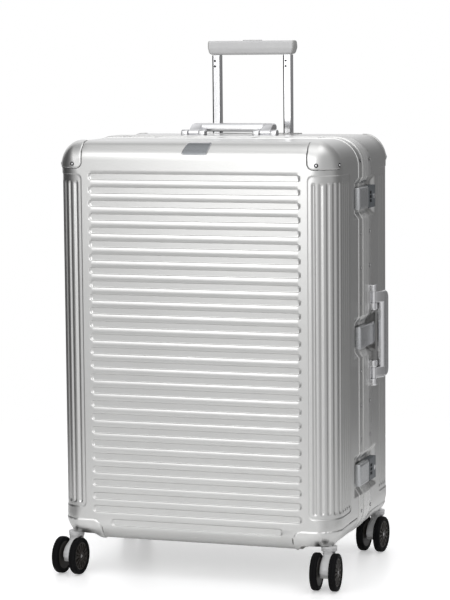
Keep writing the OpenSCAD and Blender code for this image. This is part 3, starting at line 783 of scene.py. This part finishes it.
def bottom_castings():
    """Cast corners with wheel sockets, made on one corner and mirrored."""
    base, n, faces = corner_grid(172.0, 38.0, 106.0, False, 2.2)
    place = frame_of((PIN_X, -PIN_Y, 0), (0, 0, 1))
    cone = Soup().add(*lathe([(0, 40)] + cone_profile(0, 40) + [(0, 74)], 96), place).get()
    # Round socket over the wheel, cut where it meets the outer faces
    ring = [(0, 74)] + cone_profile(0, 52)[::-1] + cone_profile(2.2, 52) + [(0, 76.2)]
    cup = Soup().add(*lathe(ring, 96), place).get()
    cup = (cup[0], [q[::-1] for q in cup[1]])
    v = np.concatenate([base - n * 0.2, V([[172.0, -38.0, 106.0]])])
    apex = len(base)
    cup = boolean(cup, (v, faces + [(b, a, apex) for a, b in open_edges(faces)]), "INTERSECT")
    for name, fy, body, z1 in (("front_bottom_castings", 1, "lid", 100.0),
                               ("rear_bottom_castings", -1, "rear_half", 91.5)):
        e = edge_distance(np.abs(base[:, 0]) - 178, z1 - base[:, 2], np.abs(base[:, 1]) - 44, 14.0)
        h = 2.0 * smooth01((e + 1.2) / 1.8) - 0.3
        outer, kept, used = trim(base + n * h[:, None], faces, e > -1.9)
        skin = closed_skin(outer, (base - n * 1.7)[used], kept)
        skin = boolean(skin, cone, "DIFFERENCE")
        away = np.hypot(base[:, 0] - PIN_X, base[:, 1] + PIN_Y) > 62
        # Painted shadow line round the edge of the casting, left out near the wheel socket
        shadow_gap(name, body, base, n, faces, np.where(away, e, -9.0), 2.5)
        s = Soup()
        for sx in (1, -1):
            for part in (skin, cup):
                s.add(*mirrored(*part, sx, fy))
        ob = make(name + "_skin", *s.get(), CAST, body, [name], "cast_aluminium", 40)
        add_bevel(ob, 0.7, 2, 50)


# ---------- frame rails ----------

def rail_path():
    """Points round the case in X and Z, counter-clockwise, each with the way out of the case."""
    pts = []
    r = R_XZ

    def arc(cx, cz, a0):
        for k in range(17):
            a = radians(a0 + 90 * k / 16)
            pts.append(((cx + r * cos(a), cz + r * sin(a)), (cos(a), sin(a))))
    arc(HX - r, Z0 + r, -90)
    zs = [Z0 + r + 12]
    for zl in LATCH_Z:
        for s in (-1, 1):
            for o in (42, 38.5, 37.5, 36.6, 35.6, 34, 28, 26.4, 25.4, 24.4, 23, 10):
                zs.append(zl + s * o)
    for z in uniq(zs, 0.2):
        if z < Z0 + r + 1 or z > Z1 - r - 1:
            continue
        x = HX
        for zl in LATCH_Z:
            t = (RECESS_Z - abs(z - zl)) / RAMP
            if t > 0:
                x = HX - RECESS_DEEP * min(t, 1.0)
        pts.append(((x, z), (1.0, 0.0)))
    arc(HX - r, Z1 - r, 0)
    pts.append(((0, Z1), (0, 1.0)))
    arc(-HX + r, Z1 - r, 90)
    pts.append(((-HX, MZ), (-1.0, 0)))
    arc(-HX + r, Z0 + r, 180)
    pts.append(((0, Z0), (0, -1.0)))
    return pts


def rails():
    """Frame rail of each half, swept round the case."""
    path = rail_path()
    # Distance from the seam and height: raised band with two creases, then a flat flange with one
    band = [(0.4, -3.9), (0.4, 2.3), (0.7, 2.8), (1.2, 3.0), (4.6, 3.0), (5.0, 2.75), (5.2, 2.25),
            (6.4, 2.25), (6.6, 2.75), (7.0, 3.0), (11.6, 3.0), (12.0, 2.75), (12.2, 2.25), (13.2, 2.25),
            (13.4, 2.75), (13.8, 3.0), (17.4, 3.0), (18.1, 2.8), (18.5, 2.3), (18.5, 1.25), (18.9, 0.9),
            (20.4, 0.9), (20.8, 1.2), (37.6, 1.2), (38.0, 1.0), (39.0, 1.0), (39.4, 1.2), (41.2, 1.2),
            (41.8, 0.95), (42.0, 0.5), (42.0, -0.4), (18.5, -0.4), (18.5, -3.9)]
    for f, name, body in ((-1, "front_frame_rail", "lid"), (1, "rear_frame_rail", "rear_half")):
        rings = []
        for (x, z), (nx, nz) in path:
            ring = [(x + nx * o, f * y, z + nz * o) for y, o in band]
            rings.append(ring[::-1] if f < 0 else ring)
        v, faces = loft(rings, cap=False, loop=True)
        make(name + "_bar", v, [q[::-1] for q in faces], RAIL, body, [name], "frame_aluminium", 30)


def rivet_shape(r, h=1.25):
    return lathe([(r, -0.2), (r, 0.45), (r * 0.93, h * 0.66), (r * 0.72, h * 0.88), (r * 0.4, h * 0.98),
                  (0, h)], 24)


# Flat dark ring under a rivet head: painted shade of the groove round it
def shade_ring_shape(r):
    return lathe([(0, -0.2), (r, -0.2), (r, 0.12), (r - 0.25, 0.3), (1.5, 0.26), (0, 0.2)], 24)


def surface_at(q):
    """Point of the case surface nearest a point of the flat box, and its outward direction."""
    q = V(q, float)
    along = V([0.5, 0, 0] if abs(abs(q[1]) - HY) < 0.1 else [0, 0.5, 0])
    p = project(V([q, q + along, q + V([0, 0, 0.5])]))
    n = np.cross(p[1] - p[0], p[2] - p[0])
    n /= np.linalg.norm(n)
    return p[0], outward(p[:1], n[None])[0]


def rivets():
    """Rivets of the flanges and the top guards: bright heads, each on a flat near-black ring that is painted
    shade of the groove round the head.
    """
    flange = 1.2
    for f, name, body in ((-1, "front_rivets", "lid"), (1, "rear_rivets", "rear_half")):
        spots = []
        y = f * 30.0
        for dz in (-311, -183, -122, -61, 61, 122, 183, 311):
            z = LATCH_Z[1] + dz
            if f < 0 or abs(dz) != 61:
                spots.append(((HX + flange, y, z), (1, 0, 0), 1.0))
            spots.append(((-HX - flange, y, z), (-1, 0, 0), 1.0))
        for k in range(-3, 4):
            if f < 0 or abs(k) != 1:
                spots.append(((k * 61.0, y, Z1 + flange), (0, 0, 1), 1.0))
            spots.append(((k * 61.0, y, Z0 - flange), (0, 0, -1), 1.0))
        for sx in (-1, 1):
            for q in ((sx * 222, f * HY, 731), (sx * HX, f * 158, 731)):
                at, out = surface_at(q)
                spots.append((at + out * flange, out, 1.12))
        heads, shade_rings = Soup(), Soup()
        for at, out, k in spots:
            heads.add(*rivet_shape(1.7 * k), frame_of(at, out))
            shade_rings.add(*shade_ring_shape(3.3 * k), frame_of(at, out))
        make(name + "_heads", *heads.get(), STEEL, body, [name], "bright_steel", 45)
        make(name + "_shade_rings", *shade_rings.get(), PAINTED_SHADE_DARK, body, [], "black_plastic", 45)


build_shell(-1)
build_shell(1)
top_guards()
bottom_castings()
rails()
rivets()


# ---------- badge ----------

def badge():
    """Blank leaning plate with a bright rim, on the rounded front top edge."""
    cy, cz, r = -(HY - 28), Z1 - 28, 28.0
    z_low, z_high = 747.0, 768.0

    def at(x, z, o):
        a = asin(max(-1, min(1, (z - cz) / r)))
        return (x, cy - (r + o) * cos(a), cz + (r + o) * sin(a))
    corners = round_poly([(-21, z_low), (25.5, z_low), (33, z_high), (-12.5, z_high)], 3.2, 6)
    mid = (6.1, 757.5)
    # Points close together, so that the plate follows the round edge
    out = []
    for a, b in zip(corners, np.roll(corners, -1, 0)):
        k = max(1, int(np.linalg.norm(b - a) / 1.5))
        out += [a + (b - a) * q / k for q in range(k)]

    def ring(inset, share, o):
        kx, kz = (1 - inset * 0.75) * share, (1 - inset * 1.5) * share
        return [at(mid[0] + (p[0] - mid[0]) * kx, mid[1] + (p[1] - mid[1]) * kz, o) for p in out]
    rim = loft([ring(1 - k, 1, o) for k, o in
                ((1.0, -0.2), (1.0, 0.9), (0.985, 1.3), (0.955, 1.5), (0.93, 1.3), (0.915, 0.7))], cap=False)
    n, steps = len(out), 12
    v, f = loft([ring(1 - 0.915, 1 - k / steps, 0.7) for k in range(steps)], cap=False)
    last = (steps - 1) * n
    f += [(last + i, last + (i + 1) % n, len(v)) for i in range(n)]
    v = np.concatenate([v, V([at(*mid, 0.7)])])
    make("badge_face", v, f, BADGE, "lid", ["badge_plate"], "badge_metal", None)
    make("badge_rim", *rim, PIN, "lid", [], "bright_steel", 50)


badge()


# ---------- CAD nodes that keep their shape ----------

def dress(name, mat, width):
    """Material, bevels and smooth shading for a CAD node."""
    ob = frame["nodes"][name]
    ob.data.materials.clear()
    ob.data.materials.append(mat)
    ob.data.polygons.foreach_set("use_smooth", [True] * len(ob.data.polygons))
    w = ob.modifiers.new("Weld", "WELD")
    w.merge_threshold = 1e-5
    add_bevel(ob, width, 2, 32)
    n = ob.modifiers.new("Normals", "WEIGHTED_NORMAL")
    n.keep_sharp = True
    n.weight = 100


for _mat, _parts in (
        (RAIL, {"hinge_leaves_rear": 0.4, "hinge_leaves_front": 0.4, "trolley_bezel": 0.7}),
        (PIN, {"hinge_pins": 0.3, "carry_handle_pins": 0.4, "centre_latch_base": 0.4, "centre_latch_pin": 0.3,
               "latch_bases": 0.4, "latch_pins": 0.3, "centre_latch_catch": 0.4}),
        (TUBE, {"trolley_middle_tubes": 0.3, "trolley_inner_tubes": 0.3}),
        (GREY, {"trolley_sleeves": 0.3}), (LOCK, {"lock_bodies": 0.5}), (STEEL, {"lock_key_cylinders": 0.4}),
        (GRIP, {"trolley_button": 1.2})):
    for _name, _width in _parts.items():
        dress(_name, _mat, _width)


# ---------- latch levers and dials ----------
LEVER_X = HX + 7.0

def lever(part, z, y0, y1, pivot_y):
    """Bevelled cover with a shallow field on its face, open underneath, with its barrel."""
    h = 19.5
    x1, x0 = LEVER_X, HX - RECESS_DEEP + 4.5
    out = round_rect(y0, y1, z - h, z + h, 1.6, 4)
    c = out.mean(0)

    def ring(inset, x):
        q = out.copy()
        q[:, 0] = c[0] + (q[:, 0] - c[0]) * (1 - 2 * inset / (y1 - y0))
        q[:, 1] = c[1] + (q[:, 1] - c[1]) * (1 - 2 * inset / (2 * h))
        return np.column_stack([np.full(len(q), x), q[:, 0], q[:, 1]])
    rows = [ring(1.7, x1 - 2.6), ring(1.7, x0), ring(0.25, x0), ring(0, x0 + 0.3), ring(0, x1 - 2.5),
            ring(0.12, x1 - 2.1), ring(2.0, x1 - 0.12), ring(2.35, x1), ring(4.0, x1), ring(4.5, x1 - 0.45),
            ring(8.0, x1 - 0.55)]
    s = Soup().add(*loft(rows))
    px = x1 - 6
    barrel = lathe(collar(1.6, 6, (2.8, 5.8), (2.6, 6)), 28, closed=True)
    s.add(*barrel, frame_of((px, pivot_y, z), (0, 0, 1)))
    make(part + "_lever_cover", *s.get(), LATCH, part + "_lever", [part + "_latch_lever"], "latch_metal", 28)


lever("centre", LATCH_Z[1], -52, 44, 39)
lever("upper", LATCH_Z[2], -57, 2, -52)
lever("lower", LATCH_Z[0], -57, 2, -52)


def dials():
    """Number wheels of the locks, each with ten grips round its rim."""
    x = LEVER_X - 6.2 + 0.8
    for side, z in (("upper", LATCH_Z[2]), ("lower", LATCH_Z[0])):
        for k in (1, 2, 3):
            zz = z + (2 - k) * 7.4
            n = 80
            rings = []
            for h, r in ((-2.5, 5.4), (-2.35, 5.8), (-1.9, 6.0), (1.9, 6.0), (2.35, 5.8), (2.5, 5.4)):
                ring = []
                for i in range(n):
                    a = 2 * pi * i / n
                    w = (a * 10 / (2 * pi)) % 1.0
                    rr = r - (0.55 if abs(h) < 2.4 and (w < 0.14 or w > 0.86) else 0.0)
                    ring.append((rr * cos(a), rr * sin(a), h))
                rings.append(ring)
            bore = [[(*p, h) for p in circle(1.58, n)] for h in (2.5, -2.5)]
            v, f = loft(rings + bore + [rings[0]], cap=False)
            name = f"{side}_dial_{k}"
            make(name + "_wheel", v + V([x, 16.0, zz]), f, DIAL, name, [name], "black_plastic", 35)


dials()


# ---------- carry handles ----------
# Local axes: u along the handle, v away from the pivot, w out of the case

M_TOP = np.eye(4)
M_TOP[:3, 3] = (middle("top_carry_handle")[0], 0, Z1)
M_SIDE = V([[0, 0, 1, HX], [0, 1, 0, 0], [-1, 0, 0, middle("side_carry_handle")[2]], [0, 0, 0, 1]], float)
# Pivot, distance between the arms, and length of the grip
PV, PW, SPAN, HLEN = 33.5, 7.2, 136.0, 156.0


def extrude_u(outline, u0, u1, edge):
    """Outline in (v, w), counter-clockwise seen from +u, between u0 and u1 with rounded rims."""
    v, f = pillow(outline, u0, u1, edge, 3)
    return v[:, [2, 0, 1]], f


def handle(body, m):
    """Grip and two arms of a carry handle."""
    v1 = PV + 14.5
    # Grip: a long plate with round outer corners and rolled edges
    out = round_rect(-HLEN / 2, HLEN / 2, v1, v1 + 34, [5, 5, 15, 15], 10)
    g = Soup().add(*pillow(out, 8.0, 23.0, 5.6, 6), m)
    # Two shallow ribs along the outer face
    for off in (9.5, 24.5):
        rib = round_rect(-HLEN / 2 + 16, HLEN / 2 - 16, v1 + off - 1.1, v1 + off + 1.1, 1.05, 5)
        g.add(*pillow(rib, 22.2, 22.98, 0.6, 3), m)
    node_name = body.replace("_", "_carry_")
    make(body + "_grip", *g.get(), HGRIP, body, [node_name], "grey_plastic", 40)
    a = Soup()
    for s in (-1, 1):
        u = s * SPAN / 2
        prof = round_poly([(PV - 1, PW - 4.5), (v1 + 7, 7.4), (v1 + 12, 9.5), (v1 + 12, 21.0), (v1 + 3, 22.4),
                           (PV - 1, PW + 4.5)], [1.5, 4, 2, 3, 8, 2], 5)
        a.add(*extrude_u(prof, u - 9.6, u + 9.6, 1.1), m)
        knuckle = lathe(collar(2.6, 9.6, (4.55, 9.2), (4.2, 9.6)), 28, closed=True)
        a.add(*knuckle, m @ frame_of((u, PV, PW), (1, 0, 0)))
    make(body + "_arms", *a.get(), CHROME, body, [], "bright_steel", 35)


handle("top_handle", M_TOP)
handle("side_handle", M_SIDE)


def handle_mounts():
    """Feet with two ears each, on which the carry handles turn."""
    s = Soup()
    for m in (M_TOP, M_SIDE):
        for side in (-1, 1):
            u = side * SPAN / 2
            v0 = PV - 8.5
            foot = round_rect(u - 23, u + 23, v0, v0 + 17, 5.0, 6)
            s.add(*pillow(foot, 1.15, 3.2, 0.5, 3), m)
            for e in (-1, 1):
                ua, ub = (u + 10.4, u + 22.6) if e > 0 else (u - 22.6, u - 10.4)
                prof = round_poly([(v0 + 0.3, 2.4), (v0 + 16.7, 2.4), (v0 + 16.7, 9.4), (v0 + 12.6, 12.6),
                                   (v0 + 4.4, 12.6), (v0 + 0.3, 9.4)], [0.5, 0.5, 3, 3, 3, 3], 5)
                s.add(*extrude_u(prof, ua, ub, 1.4), m)
    make("carry_handle_brackets", *s.get(), CHROME, "rear_half", ["carry_handle_mounts"],
         "cast_aluminium", 35)


handle_mounts()


# ---------- trolley grip ----------

TUBE_X = 68.75          # middle of a trolley tube


def grip_ring(x, lift, k=1.0):
    """Section of the grip at x. Its lower half leans in at the ends and is raised by lift."""
    lo, hi = nbox("trolley_grip")
    c = (lo + hi) / 2
    hw, half, z0, z1 = (hi[1] - lo[1]) / 2, (hi[0] - lo[0]) / 2, lo[2], hi[2]
    sec = round_poly([(-hw + 1.5, z0), (hw - 3, z0), (hw, z0 + 11), (hw - 2.5, z1), (-hw + 1, z1),
                      (-hw, z0 + 12)], [6, 8, 12, 9, 5, 14], 8)
    ring = []
    for y, z in sec:
        low = max(0, (c[2] - z)) / (c[2] - z0)
        inset = 2.6 * low if abs(x) > half - 3 else 0.0
        ring.append((c[0] + x - copysign(inset, x), c[1] + y * k, c[2] + (z + lift * low - c[2]) * k))
    return ring


def trolley_grip():
    """Grip bar with a cap on each end."""
    lo, hi = nbox("trolley_grip")
    half = (hi[0] - lo[0]) / 2
    stations = [(2.6, 1.6), (6, 0.5), (12, 0)]
    rings = [grip_ring(d - half, lift)[::-1] for d, lift in stations]
    rings += [grip_ring(half - d, lift)[::-1] for d, lift in stations[::-1]]
    make("trolley_grip_bar", *loft(rings), GRIP, "trolley_inner", ["trolley_grip"], "tube_aluminium", 40)
    caps = Soup()
    for s in (-1, 1):
        rings = [grip_ring(s * (half - d), 1.6, k)[::-s] for d, k in
                 ((2.6, 0.985), (0.9, 0.985), (0.35, 0.95), (0.0, 0.88))]
        caps.add(*loft(rings))
    make("trolley_grip_ends", *caps.get(), GREY, "trolley_inner", [], "grey_plastic", 35)


def tube_details():
    """Small rivets near the top of each trolley tube, and thin near-black strips along its edges that are
    painted shade of the tube's edges.
    """
    lo, hi = nbox("trolley_inner_tubes")
    wide = (hi[0] - lo[0]) / 2 - TUBE_X
    pins, edge_shade = Soup(), Soup()
    for s in (-1, 1):
        for dz in (11.0, 21.0):
            pins.add(*lathe([(2.1, -0.5), (2.1, 0.14), (1.7, 0.2), (0.5, 0.23), (0, 0.24)], 20),
                     frame_of((s * TUBE_X - 2.5, lo[1] + 0.1, hi[2] - dz), (0, -1, 0)))
        # Painted shade: thin dark strips on the front and back faces along each edge of the tube, wider on
        # its -X edge
        for e, w in ((-1, 2.3), (1, 1.5)):
            for f, y in ((-1, lo[1] + 0.05), (1, hi[1] - 0.05)):
                u0 = s * TUBE_X + e * (wide - 0.45 - w / 2) - w / 2
                o = round_rect(u0, u0 + w, lo[2] + 12, hi[2] - 1, 0.4, 2)
                v, q = pillow(o, 0.0, 0.16, 0.06, 1)
                v = np.column_stack([v[:, 0], y + f * v[:, 2], v[:, 1]])
                edge_shade.add(v, [k[::-1] for k in q] if f < 0 else q)
    make("tube_edge_painted_shade", *edge_shade.get(), PAINTED_EDGE_SHADE, "trolley_inner", [], "black_plastic", 40)
    make("tube_rivets", *pins.get(), BLACK, "trolley_inner", [], "black_plastic", 40)


trolley_grip()
tube_details()


# ---------- casters ----------
CORNERS = {"front_left": (-1, -1), "front_right": (1, -1), "rear_left": (-1, 1), "rear_right": (1, 1)}
WR, GAP = 32.75, 20.0           # wheel radius, and the gap between the wheels of a pair


def caster_matrix(name):
    """Local frame of a caster, with its origin on the floor under the kingpin and the axle at -Y,
    and the distance of the axle."""
    sx, sy = CORNERS[name]
    o = V([sx * PIN_X, sy * PIN_Y])
    d = middle(name + "_axle")[:2] - o
    trail = float(np.linalg.norm(d))
    d /= trail
    m = np.eye(4)
    m[:2, 0] = (-d[1], d[0])
    m[:2, 1] = -d
    m[:2, 3] = o
    return m, trail


def tyre():
    """Tread and side walls, about local Z. The face towards the fork is near z = 0."""
    prof = [(24.5, 1.2), (27.5, 0.35), (30.2, 0.2), (31.6, 0.9), (32.5, 2.2), (32.75, 3.6), (32.75, 5.2),
            (32.3, 5.6), (32.3, 6.2), (32.75, 6.6), (32.75, 9.4), (32.5, 10.8), (31.6, 12.1), (30.2, 12.8),
            (27.5, 12.65), (25.4, 11.9), (24.6, 11.2), (24.5, 9)]
    return lathe(prof, 72, closed=True)


def hub():
    """Dished hub with a raised boss and a ring of fins."""
    s = Soup()
    dish = [(3.06, 1.0), (24.7, 1.0), (24.7, 10.6), (23.6, 11.5), (22.4, 11.2), (21.6, 9.0), (12, 8.2),
            (9.2, 9.4), (8.6, 11.4), (7.6, 12.1), (4.6, 12.1), (4.2, 11.6), (3.06, 11.6)]
    s.add(*lathe(dish, 64, closed=True))
    outline = round_poly([(8.2, -1.15), (22.6, -1.9), (22.6, 1.9), (8.2, 1.15)], 0.5, 2)
    fin = pillow(outline, 8.2, 11.1, 0.5, 2)
    for c, sn in circle(1, 14):
        s.add(*fin, V([[c, -sn, 0, 0], [sn, c, 0, 0], [0, 0, 1, 0], [0, 0, 0, 1]]))
    return s.get()


def fork_shape(trail):
    """Barrel, kingpin and curved hood, in the caster's own frame."""
    s = Soup()
    barrel = [(0, 54.5), (6.5, 54.6), (8.6, 55.6), (9.2, 57.5), (9.2, 62.5), (13.2, 64.2), (13.8, 65.2),
              (13.8, 67.4), (13.2, 67.9), (13.2, 68.5), (14.0, 69.1), (14.0, 72.6), (13.6, 73.0), (0, 73.0)]
    s.add(*lathe(barrel, 48))
    s.add(*lathe([(0, 72.9), (5, 72.9), (5, 93.4), (4.4, 94), (0, 94)], 32))
    t = -trail
    side = round_poly([(11.5, 64), (11.0, 54), (4.5, 42), (-9, 33.5), (-12, 29.5), (t + 9, 25.5), (t - 7, 25),
                       (t - 14.5, 31), (t - 14.0, 40), (t - 4.5, 50.5), (-11.5, 58.5), (-12.6, 64)],
                      [1, 6, 14, 6, 4, 8, 5, 7, 8, 20, 6, 1], 6)[::-1]
    inward = inwards(side)
    if np.mean(np.sum((side.mean(0) - side) * inward, axis=1)) < 0:
        inward = -inward
    half = [(-9.2, 3.2), (-8.9, 1.8), (-7.9, 0.7), (-6.2, 0.1)]
    rings = [np.column_stack([np.full(len(side), x), side + inward * inset])
             for x, inset in half + [(0, 0)] + [(-x, inset) for x, inset in half[::-1]]]
    v, f = loft(rings)
    s.add(v, [q[::-1] for q in f])
    return s.get()


def boss_shape(trail):
    """Boss round the axle, and the plate under it."""
    s = Soup()
    s.add(*lathe(collar(3.05, 9.5, (9.1, 9.1), (8.6, 9.5)), 40, closed=True),
          frame_of((0, -trail, WR), (1, 0, 0)))
    plate = round_poly([(v - trail, w) for v, w in ((-8.5, 22.5), (8, 22.5), (10, 30), (-12.5, 30))], 3.0, 4)
    s.add(*extrude_u(plate, -8.6, 8.6, 1.0))
    return s.get()


def caster(name):
    """Fork, axle boss, and the two wheels with tyre and hub."""
    m, trail = caster_matrix(name)
    body = name + "_caster"
    arm = Soup().add(*fork_shape(trail), m)
    make(name + "_fork_arm", *arm.get(), FORK, body, [name + "_fork"], "cast_aluminium", 38)
    boss = Soup().add(*boss_shape(trail), m)
    make(name + "_axle_boss", *boss.get(), GREY, body, [], "grey_plastic", 38)
    dress(name + "_axle", PIN, 0.4)
    across, axle = m[:3, 0], m[:3, 3] - m[:3, 1] * trail
    for side in ("outer", "inner"):
        wheel = f"{name}_wheel_{side}"
        axis = across * (1 if (middle(wheel) - axle) @ across > 0 else -1)
        place = frame_of(axle + V([0, 0, WR]) + axis * (GAP / 2), axis)
        for shape, end, mat, nodes, slot, angle in ((tyre, "_tyre", RUBBER, [wheel], "tread_rubber", 40),
                                                    (hub, "_hub", HUB, [], "grey_plastic", 35)):
            make(wheel + end, *Soup().add(*shape(), place).get(), mat, f"{name}_{side}", nodes, slot, angle)


for _name in CORNERS:
    caster(_name)


# ---------- lining and straps ----------

def lining(f):
    """Cloth skin inside one half, puffed a little between its seams."""
    g = Grid()
    ys = sorted(f * v for v in spread_lines([], 19.4, HY, 12))
    xs = spread_lines([97, 90, 84, -84, -90, -97], -HX, HX, 12)
    zs = spread_lines([], Z0, Z1, 12)
    g.patch(1, f * HY, xs, zs)
    for s in (-1, 1):
        g.patch(0, s * HX, ys, zs)
    for z in (Z0, Z1):
        g.patch(2, z, xs, ys)
    base = project(V(g.pts))
    n = outward(base, normals(base, g.faces))
    x, y, z = base.T
    d = np.full(len(base), 4.0)
    # Quilting on the panel, and a slow waviness everywhere
    quilt = 1.2 * np.abs(np.sin(pi * x / 128.0)) * np.abs(np.sin(pi * (z - Z0) / 117.7))
    d += quilt * (np.abs(y) > HY - 20)
    d += 0.35 * np.sin(x * 0.061 + z * 0.043) * np.sin(z * 0.031 - x * 0.017)
    for zl in LATCH_Z:
        t = np.minimum(RECESS_Z + 2 - np.abs(z - zl), RECESS_Y + 2 - np.abs(y)) / RAMP
        d += np.where(x > HX - 6, 8.4 * smooth01(t), 0)
    # Over the sockets of the casters
    for sx in (-1, 1):
        rr = np.hypot(x - sx * PIN_X, y - f * PIN_Y)
        over = (92 - z) * smooth01((74 - rr) / 8) / np.maximum(np.abs(n[:, 2]), 0.35)
        d = np.maximum(d, np.where((z < Z0 + 60) & (rr < 74), over, 0))
    p = base - n * d[:, None]
    if f > 0:
        # The cloth lies over the trolley's sleeves and tray, which stand in front of the back panel
        w = smooth01((97 - np.abs(p[:, 0])) / 13) * smooth01((p[:, 2] - 298) / 20)
        p[:, 1] -= w * 0.97 * np.maximum(p[:, 1] - 143.6, 0)
        w = smooth01((97 - np.abs(p[:, 0])) / 13) * smooth01((p[:, 1] - 118) / 14)
        p[:, 2] -= w * 0.97 * np.maximum(p[:, 2] - (Z1 - 33), 0)
    half = "front" if f < 0 else "rear"
    ob = make(half + "_lining_cloth", p, g.faces, LINING, BODY[f], [half + "_lining"], "lining_cloth", None)
    side = 2 * (HY - 20) / 1000
    w, h = 2 * HX / 1000 + side, 2 * HZ / 1000 + side


lining(-1)
lining(1)


def straps():
    """Two crossing straps and a buckle, in the rear half."""
    zc = MZ
    length, steps, th, mid_y = 540.0, 60, 0.7, 139.5
    # Half of the section: a hem along each edge, and a thinner middle
    edge = [(13, 0.25), (12.4, th), (9.5, th * 0.75), (-9.5, th * 0.75), (-12.4, th), (-13, 0.25)]
    section = [(q, -o) for q, o in edge[::-1]] + edge
    for i, tilt in enumerate((radians(32), radians(-32))):
        along, across = V([sin(tilt), 0, cos(tilt)]), V([cos(tilt), 0, -sin(tilt)])
        rings = []
        for k in range(steps + 1):
            t = -length / 2 + length * k / steps
            # One strap passes over the other
            y = mid_y + (0.9 if i == 0 else -0.9) * exp(-(t / 60) ** 2)
            c = V([0, y, zc]) + along * t
            rings.append([c + across * q + V([0, o, 0]) for q, o in section])
        ob = make(f"packing_strap_{i + 1}", *loft(rings), WEB, "rear_half",
                  ["packing_straps"] if i == 0 else [], "strap_webbing", 50)
    plates = [pillow(round_rect(-28, 28, zc - 20, zc + 20, 6, 6), 134.2, 138.2, 1.4, 4)]
    for x in (-19, 19):
        plates.append(pillow(round_rect(x - 5, x + 5, zc - 13, zc + 13, 2.2, 4), 133.6, 134.8, 0.5, 3))
    s = Soup()
    for v, f in plates:
        s.add(v[:, [0, 2, 1]], [q[::-1] for q in f])
    make("strap_buckle", *s.get(), BLACK, "rear_half", [], "black_plastic", 40)


straps()


# ---------- floor, light and camera ----------

def floor():
    """Pale round floor that fades out, in metres."""
    verts, faces = lathe([(r, 0) for r in (0, 0.5, 1.0, 1.6, 2.4, 3.4, 4.6, 6.0)], 96)
    me = bpy.data.meshes.new("floor")
    me.from_pydata([(x, y + 0.4, z - 0.0002) for x, y, z in verts], [], [q[::-1] for q in faces])
    m, t, b = new_mat("floor_pale")
    link(ramp(t, noise(t, 3.0), (0.86, 0.86, 0.86), (0.88, 0.88, 0.88)), b.inputs["Base Color"])
    put(b, Emission_Color=(1, 1, 1, 1), Roughness=0.38, Specular_IOR_Level=0.35)
    lp = node(t, "ShaderNodeLightPath")
    link(ranged(t, lp.outputs["Is Camera Ray"], 0.10, 0.36, 0.0, 1.0), b.inputs["Emission Strength"])
    c = node(t, "ShaderNodeTexCoord")
    ln = node(t, "ShaderNodeVectorMath", operation="LENGTH")
    link(c.outputs["Object"], ln.inputs[0])
    fade = ranged(t, ln.outputs["Value"], 1.0, 0.0, 0.65, 1.7)
    link(fade, b.inputs["Alpha"])
    me.materials.append(m)
    add_object("floor", me)


floor()


def area_light(name, loc, target, size, power):
    light = bpy.data.lights.new(name, "AREA")
    light.shape = "RECTANGLE"
    light.size, light.size_y = size
    light.energy = power
    ob = add_object(name, light)
    ob.location = loc
    ob.rotation_euler = (Vector(target) - Vector(loc)).to_track_quat("-Z", "Y").to_euler()


area_light("key_front", (-1.0, -3.6, 1.9), (0, 0, 0.6), (2.2, 1.6), 13)
area_light("card_front", (-0.24, -1.75, 0.82), (0.05, 0, 0.66), (0.80, 0.70), 2.5)
area_light("soft_above", (0.3, -0.6, 3.2), (0, 0, 0), (3.0, 3.0), 16)


def world():
    """White to the camera. To reflections a grey room with soft lighter and darker areas."""
    w = bpy.data.worlds.new("studio")
    bpy.context.scene.world = w
    w.use_nodes = True
    t = w.node_tree
    t.nodes.clear()
    out = node(t, "ShaderNodeOutputWorld")
    seen = node(t, "ShaderNodeBackground")
    put(seen, Color=(1, 1, 1, 1))
    env = node(t, "ShaderNodeBackground")
    c = node(t, "ShaderNodeTexCoord")
    last = None
    # Direction of an area, cosines at its outer and inner edge, brightness
    lobes = [((0, 0, 1), 0.25, 0.95, 0.50), ((0, 0, -1), 0.2, 0.9, 0.60),
             ((0.42, -0.10, 0.90), 0.84, 0.98, 1.3), ((-0.34, -0.93, 0.05), 0.10, 0.90, 0.62),
             ((0.15, -0.82, 0.52), 0.56, 0.86, 1.10), ((-1.0, 0.22, 0.0), 0.44, 0.88, 0.07),
             ((1.0, -0.35, 0.0), 0.45, 0.97, 0.58), ((-0.30, 0.86, 0.40), 0.66, 0.93, 1.10),
             ((0.62, 0.78, -0.08), 0.45, 0.93, 0.22)]
    for d, a, b, level in lobes:
        dot = node(t, "ShaderNodeVectorMath", operation="DOT_PRODUCT")
        link(c.outputs["Generated"], dot.inputs[0])
        dot.inputs[1].default_value = Vector(d).normalized()
        mr = node(t, "ShaderNodeMapRange", interpolation_type="SMOOTHSTEP")
        put(mr, From_Min=a, From_Max=b)
        link(dot.outputs["Value"], mr.inputs["Value"])
        mix = node(t, "ShaderNodeMix", data_type="RGBA")
        link(mr.outputs["Result"], mix.inputs["Factor"])
        if last is None:
            put(mix, A=(0.72, 0.72, 0.72, 1))
        else:
            link(last, mix.inputs["A"])
        put(mix, B=(level, level, level * 1.01, 1))
        last = mix.outputs["Result"]
    link(last, env.inputs["Color"])
    lp = node(t, "ShaderNodeLightPath")
    ms = node(t, "ShaderNodeMixShader")
    link(lp.outputs["Is Camera Ray"], ms.inputs[0])
    link(env.outputs[0], ms.inputs[1])
    link(seen.outputs[0], ms.inputs[2])
    link(ms.outputs[0], out.inputs["Surface"])


world()

# Camera of the photo, from the fit of the case's edges: place in case metres, and angles in degrees
CAM_PLACE, CAM_ANGLES, CAM_LENS = (1.313415, -3.941121, 0.939052), (83.6461, 0.51525, 18.44515), 138.762
cam_data = bpy.data.cameras.new("camera")
cam_data.lens = CAM_LENS
cam_data.sensor_width = 36.0
cam_data.sensor_fit = "AUTO"
cam_data.clip_end = 50
cam = add_object("camera", cam_data)
cam.matrix_world = Matrix.LocRotScale(Vector(CAM_PLACE) + Vector(OFF / 1000),
                                      Euler([radians(a) for a in CAM_ANGLES]), None)
bpy.context.scene.camera = cam
bpy.context.scene.view_settings.view_transform = "Standard"
